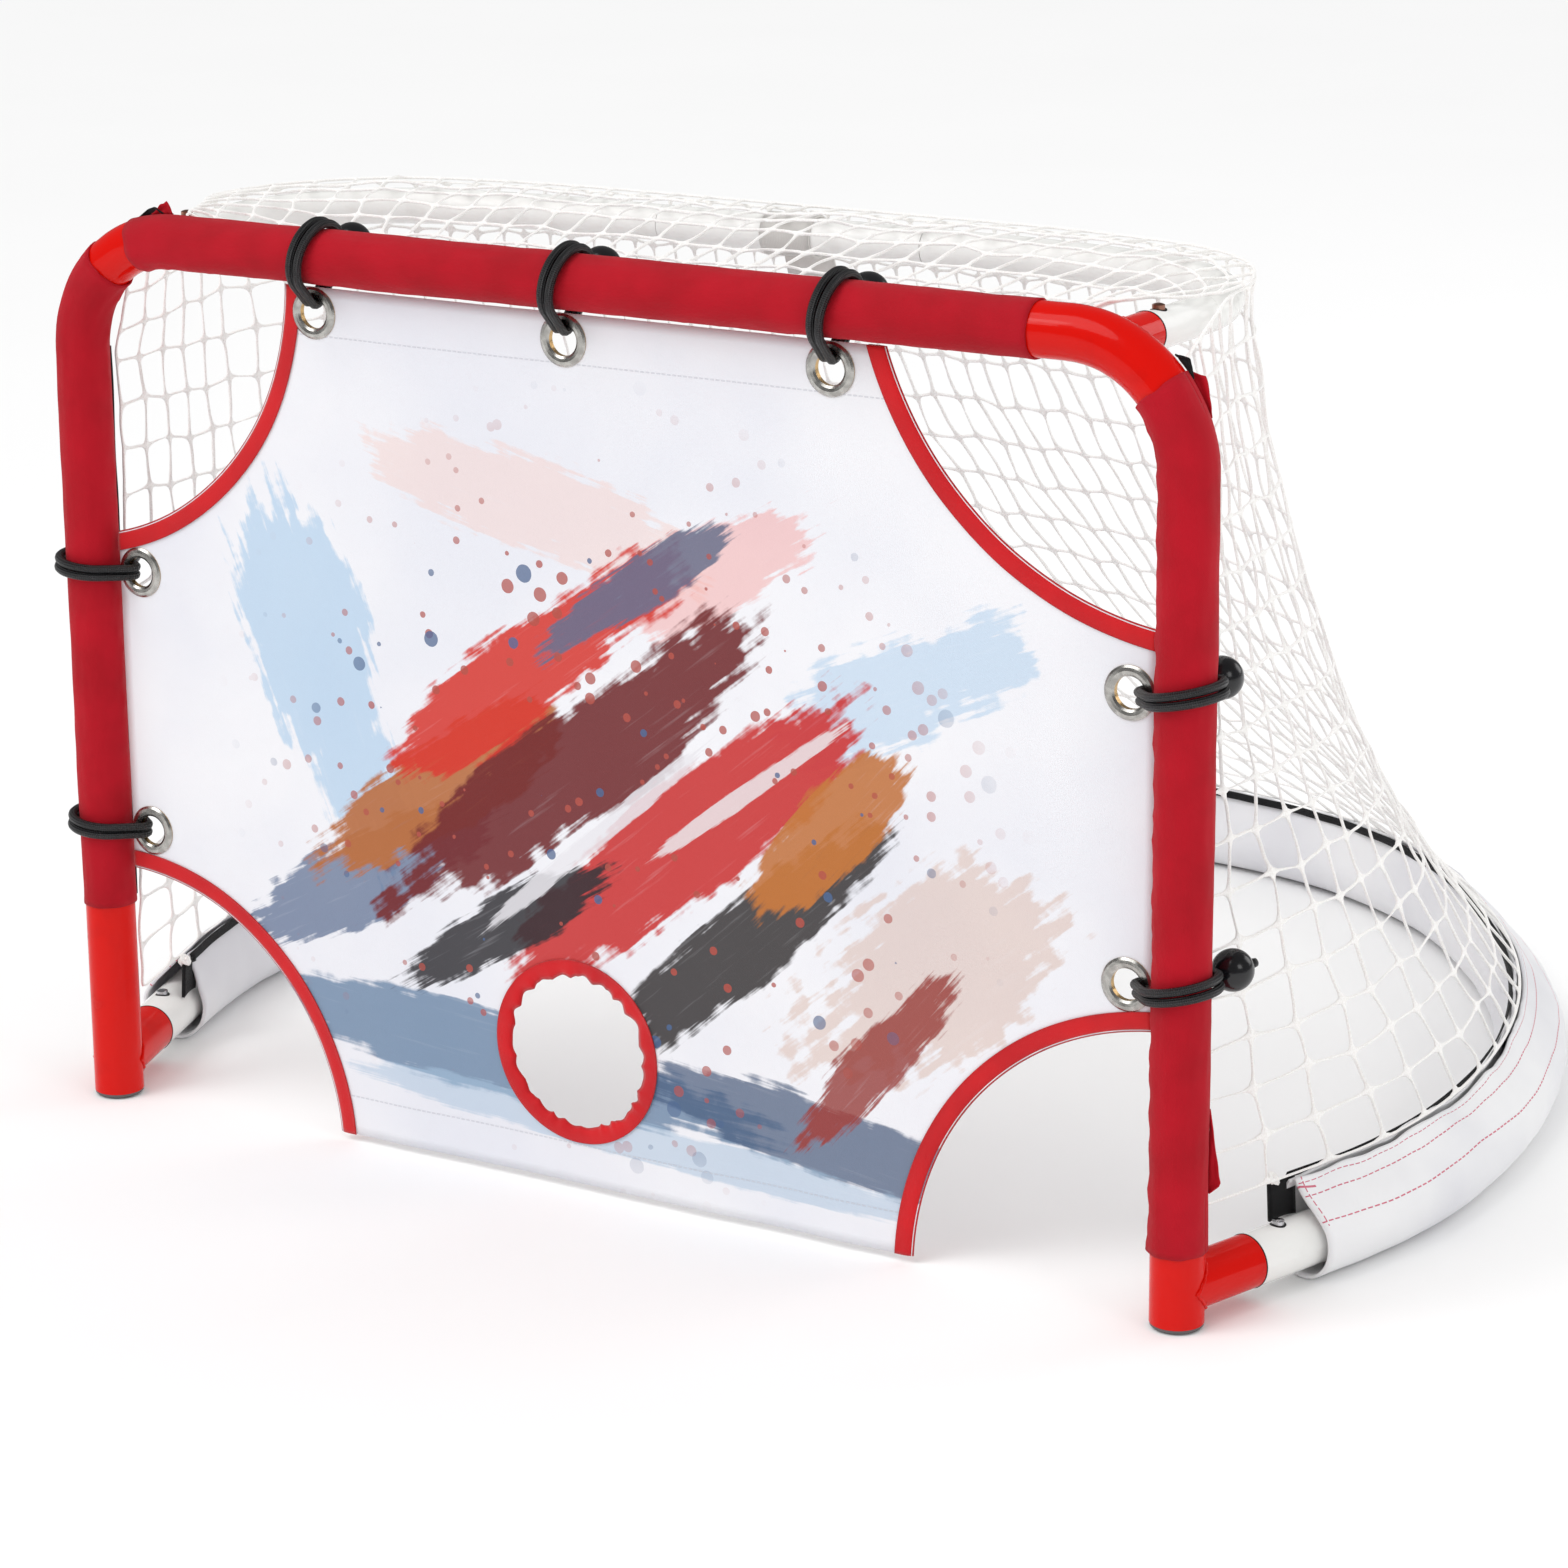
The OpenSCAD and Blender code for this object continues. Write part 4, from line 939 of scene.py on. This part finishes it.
bm = cloth(300, 2, 2 * SKIRT_END * MM, 0.006, edge_strip)
piece("skirt_closing", bm, strip_black, "strip_black", "skirt_strip", modifiers=[thick(0.0011)])


# %% The skirt's ends
def end_tab(side):
    """The hook tape runs on past the skirt's end and stands beside the bare tube."""

    def formed(u, v):
        x, y = along_route(BASE, SKIRT_END - 8 + 24 * u, -13.5 - 1.5 * v)
        return at(side * x, REACH + y, 38 + 25 * v + 1.5 * math.sin(3 * u))

    return cloth(8, 8, 0.024, 0.025, formed)


def knot(side):
    bm = bmesh.new()
    bmesh.ops.create_icosphere(bm, subdivisions=4, radius=1.0)
    x, y = along_route(BASE, SKIRT_END + 12, -14.5)
    for vert in bm.verts:
        twist = 3.4 + 1.6 * math.sin(5 * vert.co.x + 4 * vert.co.z) + 0.8 * noise.noise(vert.co * 3)
        vert.co = at(side * x, REACH + y, 66) + vert.co * twist * MM
    return bm


for side, label in SIDES:
    piece(f"{label}_skirt_hook", end_tab(side), strip_black, "strip_black", modifiers=[thick(0.0022)])
    piece(f"{label}_net_knot", knot(side), net_white, "net_white")

# %% [markdown]
# ## The strap
# A grey webbing strap is wound once round the middle of the bow, and a short tail hangs at the back net.

# %% The strap
STRAP_R, STRAP_WIDE = 13.9, 39
down = []
# Once round the bow: down behind it, forward under it and back over it
for degrees in range(400, 44, -15):
    a = math.radians(degrees)
    down.append(Vector((BOW_DEEP + STRAP_R * math.cos(a), BOW_Z + STRAP_R * math.sin(a))))
for v in (0.04, 0.06, 0.08):
    p, q = back_net(0, v), back_net(0, v + 0.01)
    slope = Vector((q.y - p.y, q.z - p.z)).normalized()
    down.append(Vector((p.y, p.z)) + Vector((slope.y, -slope.x)) * 5.0)


def strapped(u, v):
    place = u * (len(down) - 1)
    i = min(int(place), len(down) - 2)
    p = down[i].lerp(down[i + 1], place - i)
    return at((v - 0.5) * STRAP_WIDE, p.x, p.y)


bm = cloth(len(down) * 2 - 2, 6, 0.85, 0.039, strapped)
piece("back_strap", bm, strap_grey, "strap_grey", "centre_strap", modifiers=[thick(0.0018)])

# %% [markdown]
# ## The printed sheet
# The sheet is cut to shape while it is flat, and only then formed: it is pulled tight at the eyelets and
# slack between them, so its face has long soft folds.

# %% Cutting the sheet
HALF, LOW, HIGH = 398.55, 5.0, 598.55
# The cloth hangs askew: its left eyelets are this much lower and its right ones this much higher
DROP = 8.0
# The middle and the radius of each cut-out
CUTS = {
    "upper_left": (-HALF - 48, HIGH + 8, 200.0),
    "upper_right": (HALF + 30, HIGH + 71, 229.0),
    "lower_left": (-HALF - 5, LOW - 13, 179.0),
    "lower_right": (HALF + 23, LOW - 8, 193.0),
}
FIVE = (-27.0, 99.0, 52.0)
TOP_EYELETS = [i * 198.0 - 26.0 for i in (-1, 0, 1)]
SIDE_EYELETS = (208.0, 394.0)
# Every eyelet is as far in from the steel's axis
EYELET_IN = 38.95
EYELETS = [(x, TALL - EYELET_IN) for x in TOP_EYELETS] + [
    (side * (MOUTH - EYELET_IN), z + side * DROP) for side in (-1, 1) for z in SIDE_EYELETS
]
SHEET_Y = 4.0
EYELET_CUT = 11.6


def slack(x, z):
    """How far the tied cloth stands out of its plane, in millimetres; nothing at an eyelet."""
    fold = 2.2 * noise.noise(Vector((x * 0.006, z * 0.004, 2)))
    fold += 1.1 * noise.noise(Vector((x * 0.02, z * 0.008, 6)))
    for ex, ez in EYELETS:
        d = math.hypot(x - ex, z - ez)
        fold *= 1 - math.exp(-((d / 42) ** 2))
    return fold


def cutter(x, z, r):
    bm = bmesh.new()
    bmesh.ops.create_cone(bm, cap_ends=True, segments=128, radius1=r * MM, radius2=r * MM, depth=0.1)
    place = Matrix.Translation(at(x, SHEET_Y, z)) @ Matrix.Rotation(math.pi / 2, 4, "X")
    bmesh.ops.transform(bm, matrix=place, verts=bm.verts)
    return mesh_object("cutter", bm)


def flat_sheet(u, v):
    return at(-HALF + 2 * HALF * u, SHEET_Y, LOW + (HIGH - LOW) * v)


bm = cloth(110, 80, 2 * HALF * MM, (HIGH - LOW) * MM, flat_sheet)
for face in bm.faces:
    for loop in face.loops:
        layer = bm.loops.layers.uv["cloth"]
        loop[layer].uv = (loop.vert.co.x, loop.vert.co.z)
sheet = piece("target_cloth", bm, sheet_print, "sheet_print", "target_sheet", modifiers=[thick(0.0014)])
# The gathered tape covers the low hole's edge, so the cloth is cut back further there
knives = [cutter(*cut_out) for cut_out in CUTS.values()]
knives.append(cutter(FIVE[0], FIVE[1], FIVE[2] + 6))
knives += [cutter(x, z, EYELET_CUT) for x, z in EYELETS]
for knife in knives:
    cut = sheet.modifiers.new("Cut", "BOOLEAN")
    cut.operation, cut.object, cut.solver = "DIFFERENCE", knife, "EXACT"
seen = sheet.evaluated_get(bpy.context.evaluated_depsgraph_get())
sheet.data = bpy.data.meshes.new_from_object(seen)
sheet.modifiers.clear()
for knife in knives:
    bpy.data.objects.remove(knife)
for vert in sheet.data.vertices:
    x, z = vert.co.x / MM, vert.co.z / MM
    vert.co.y += slack(x, z) * MM
sheet.data.update()
print("sheet has", len(sheet.data.polygons), "faces")

# %% [markdown]
# ## Red tape on the cut edges
# Each cut edge is bound with tape folded over it. The tape's section is a narrow U, spun round the middle of
# the cut-out. The low hole's tape is gathered, so its inner edge is wavy.


# %% The tapes
TAPE_WIDE = 13


def tape(name, node, x, z, r, ends, steps, gather=0.0):
    """A tape folded over an arc; ends(reach) gives the angles where a circle of that reach starts and ends.

    gather makes its inner edge wavy.
    """

    def formed(u, v):
        side = math.cos(v * math.pi)
        across = abs(side)
        start, stop = ends(r + TAPE_WIDE * across)
        a = start + (stop - start) * u
        round_about = Vector((math.cos(a), math.sin(a), 0))
        swell = noise.noise(round_about * 2.3)
        size = 0.55 + 0.9 * abs(noise.noise(round_about * 4.1 + Vector((0, 0, 5))))
        wave = gather * size * abs(math.sin(9.5 * a + 2.5 * swell)) * (1 - across)
        reach = r - 0.7 + TAPE_WIDE * across + 3.6 * wave
        px, pz = x + reach * math.cos(a), z + reach * math.sin(a)
        stand = 1.5 * math.copysign(min(1, 3 * across), side) + 0.8 * wave
        return at(px, SHEET_Y + slack(px, pz) + stand, pz)

    start, stop = ends(r)
    bm = cloth(steps, 12, abs(stop - start) * r * MM, 0.03, formed, 0.00005)
    return piece(name, bm, binding_red, "binding_red", node, modifiers=[thick(0.0008)])


for corner, (x, z, r) in CUTS.items():
    side, up = (-1 if "left" in corner else 1), "upper" in corner

    def ends(reach, x=x, z=z, side=side, up=up):
        """The angles at the sheet's upright edge and at its level edge."""
        upright = math.acos((side * HALF - x) / reach) * (-1 if up else 1)
        level = math.asin(((HIGH if up else LOW) - z) / reach)
        if side > 0:
            level = math.pi - level - (2 * math.pi if up else 0)
        return upright, level

    tape(corner + "_tape", corner + "_binding", x, z, r, ends, 90)
tape("five_hole_tape", "five_hole_binding", *FIVE, lambda reach: (0, 2 * math.pi), 300, 1.0)
flat_area = sum(p.area for p in sheet.data.polygons) / 2
print("sheet area", round(flat_area, 3), "square metres")

# %% [markdown]
# ## Bungees
# Each bungee is one elastic cord, doubled: both strands go round the steel, down through the eyelet and back,
# and end in the ball. Two strands side by side, each on its own slightly different path, look tied by hand.

# %% The bungee loops
# The belt's radius round the steel and round the eyelet's rim, and the middle of that rim
LOOP_R, WRAP_R, TURN_AT = 23.55, 5.6, Vector((27.05, SHEET_Y))
STRAND_R, STRAND_OFF = 2.9, 3.0


def belt(share, loose):
    """A point of the belt round the steel and the eyelet's rim, as share goes once round."""
    open_angle = math.acos((LOOP_R - WRAP_R) / TURN_AT.length)
    middle = math.atan2(TURN_AT.y, TURN_AT.x)
    big = LOOP_R * (2 * math.pi - 2 * open_angle)
    small = WRAP_R * 2 * open_angle
    run = math.sqrt(TURN_AT.length ** 2 - (LOOP_R - WRAP_R) ** 2)
    s = share * (big + small + 2 * run)
    if s < big:
        a = middle + open_angle + s / LOOP_R
        return Vector((math.cos(a), math.sin(a))) * (LOOP_R + loose)
    s -= big
    a, b = middle - open_angle, middle + open_angle
    if s < run:
        p, q = Vector((math.cos(a), math.sin(a))), TURN_AT + Vector((math.cos(a), math.sin(a))) * WRAP_R
        return (p * (LOOP_R + loose)).lerp(q, s / run)
    s -= run
    if s < small:
        return TURN_AT + Vector((math.cos(a + s / WRAP_R), math.sin(a + s / WRAP_R))) * WRAP_R
    p, q = TURN_AT + Vector((math.cos(b), math.sin(b))) * WRAP_R, Vector((math.cos(b), math.sin(b)))
    return p.lerp(q * (LOOP_R + loose), (s - small) / run)


def leaned(p, lateral, slant):
    """Tilts a point of the belt's frame about the eyelet, as the CAD solid is tilted."""
    a = math.radians(slant)
    x = p.x - TURN_AT.x
    ahead = TURN_AT.x + x * math.cos(a) + lateral * math.sin(a)
    return Vector((ahead, p.y, lateral * math.cos(a) - x * math.sin(a)))


def bungee(name, node, slant, ball_angle, onto):
    """A doubled cord; onto puts a point of the belt's own frame in its place on the goal."""

    def strand(lateral, wobble):
        def formed(u, v):
            p = belt(u % 1.0, 0.3 * wobble)
            ahead = belt((u + 0.004) % 1.0, 0.3 * wobble)
            tangent = (ahead - p).normalized()
            normal = Vector((tangent.y, -tangent.x))
            a = v * 2 * math.pi
            shift = lateral + 0.25 * math.sin(2 * math.pi * (u + wobble))
            q = p + normal * (STRAND_R * math.cos(a) + 0.3)
            return onto(leaned(q, shift + STRAND_R * math.sin(a), slant))

        return cloth(72, 12, 0.2, 0.0157, formed, 0.00003)

    bm = strand(STRAND_OFF, 0.0)
    other = strand(-STRAND_OFF, 0.37)
    mesh = bpy.data.meshes.new("strand")
    other.to_mesh(mesh)
    other.free()
    bm.from_mesh(mesh)
    bpy.data.meshes.remove(mesh)
    a = math.radians(ball_angle)
    # The cord runs on into the ball and out of it, where it ends in a knob
    for radius, start, length in ((2.5, 25.0, 29.0), (3.4, 53.2, 4.2)):
        end = bmesh.ops.create_cone(
            bm, cap_ends=True, segments=16, radius1=radius * MM, radius2=radius * 0.8 * MM, depth=length * MM)
        for vert in end["verts"]:
            along = start + length / 2 + vert.co.z / MM
            side, lateral = vert.co.x / MM, vert.co.y / MM
            p = Vector((along * math.cos(a) - side * math.sin(a), along * math.sin(a) + side * math.cos(a)))
            vert.co = onto(leaned(p, lateral, slant))
    piece(name, bm, cord_black, "cord_black", node)


for label, middle in zip(("left", "middle", "right"), TOP_EYELETS):
    bungee(
        f"top_{label}_cord", f"top_{label}_bungee", 12, 96,
        lambda p, m=middle: at(m + p.z, p.y, TALL - p.x))
for label, z, angle in zip(("lower", "upper"), SIDE_EYELETS, (118, 98)):
    for side, hand in SIDES:
        bungee(
            f"{hand}_{label}_cord", f"{hand}_{label}_bungee", -12 if side > 0 else 6, angle,
            lambda p, side=side, h=z + side * DROP: at(side * (MOUTH - p.x), p.y, h - side * p.z))
print("seven bungees tied")

# %% [markdown]
# ## Springs
# The leaf springs inside the spigots are squashed as their buttons go in. Each is shown by a copy that has a
# mesh of its own.

# %% The springs
for name in [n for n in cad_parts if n.endswith("_spring")]:
    bm = bmesh.new()
    bm.from_mesh(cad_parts[name].data)
    bmesh.ops.remove_doubles(bm, verts=bm.verts, dist=0.00001)
    spring = piece(name + "_leaf", bm, spring_steel, "spring_steel", name, outward=False)
    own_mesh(spring)

# %% [markdown]
# ## Floor, light and camera
# A wide flat pale floor and a bright even surround give the plain studio look. A weak sun and a soft lamp
# come from the upper front left, a smaller lamp from the right, and one from behind lights the net's inside.

# %% The studio
floor = bmesh.new()
bmesh.ops.create_grid(floor, x_segments=1, y_segments=1, size=30.0)
ground = mesh_object("floor", floor)
ground.location.z = -0.0006
paper = Finish("floor_paper", roughness=0.9, specular_ior_level=0.1)
paper.colour(paper.mix(paper.noise(2.0), rgb(0.93, 0.93, 0.93), rgb(0.95, 0.95, 0.95)))
ground.data.materials.append(paper.material)

world = bpy.data.worlds.new("studio")
bpy.context.scene.world = world
world.use_nodes = True
# Reflections see a darker room than the diffuse light does, as in a studio with a few large lamps
sky = world.node_tree.nodes["Background"]
path = world.node_tree.nodes.new("ShaderNodeLightPath")
dimmer = world.node_tree.nodes.new("ShaderNodeMapRange")
dimmer.inputs["To Min"].default_value, dimmer.inputs["To Max"].default_value = 0.78, 0.22
world.node_tree.links.new(path.outputs["Is Glossy Ray"], dimmer.inputs["Value"])
world.node_tree.links.new(dimmer.outputs[0], sky.inputs["Strength"])
sky.inputs["Color"].default_value = rgb(1, 1, 1)


def lamp(name, kind, place, aim, size, power):
    data = bpy.data.lights.new(name, kind)
    data.energy = power
    if kind == "SUN":
        data.angle = size
    else:
        data.size = size
    obj = shown(name, data)
    obj.location = place
    obj.rotation_euler = (Vector(aim) - Vector(place)).to_track_quat("-Z", "Y").to_euler()


lamp("sun", "SUN", (-1.2, -2.0, 3.2), (0, 0, 0), 0.7, 0.9)
lamp("key", "AREA", (-1.6, -2.6, 2.6), (0, 0, 0.25), 1.2, 14)
lamp("side", "AREA", (2.6, -1.2, 1.6), (0.2, 0, 0.3), 0.9, 7)
lamp("inside", "AREA", (1.9, 2.4, 1.5), (-0.2, 0.2, 0.3), 1.6, 16)
bpy.context.scene.view_settings.view_transform = "Standard"

# %% The camera
# The point the camera looks at, and how far from it the camera stands, in metres
AIM = at(40.602, 161.903, 324.518)
AWAY = 3.040151
# The render's width, the focal length and the vertical shift in pixels, and the sensor's width in millimetres
PIXELS, FOCAL, SHIFT, SENSOR = 1568, 4500, -100, 36
azimuth, elevation, roll = math.radians(31.165), math.radians(15.217), math.radians(-0.507)
level = math.cos(elevation)
back = Vector((math.sin(azimuth) * level, -math.cos(azimuth) * level, math.sin(elevation)))
right = Vector((math.cos(azimuth), math.sin(azimuth), 0))
up = back.cross(right)
tilted_right = right * math.cos(roll) + up * math.sin(roll)
tilted_up = up * math.cos(roll) - right * math.sin(roll)
lens = bpy.data.cameras.new("camera")
lens.lens = FOCAL / PIXELS * SENSOR
lens.shift_y = SHIFT / PIXELS
camera = shown("camera", lens)
turn = Matrix((tilted_right, tilted_up, back)).transposed().to_4x4()
camera.matrix_world = Matrix.Translation(AIM + back * AWAY) @ turn
bpy.context.scene.camera = camera
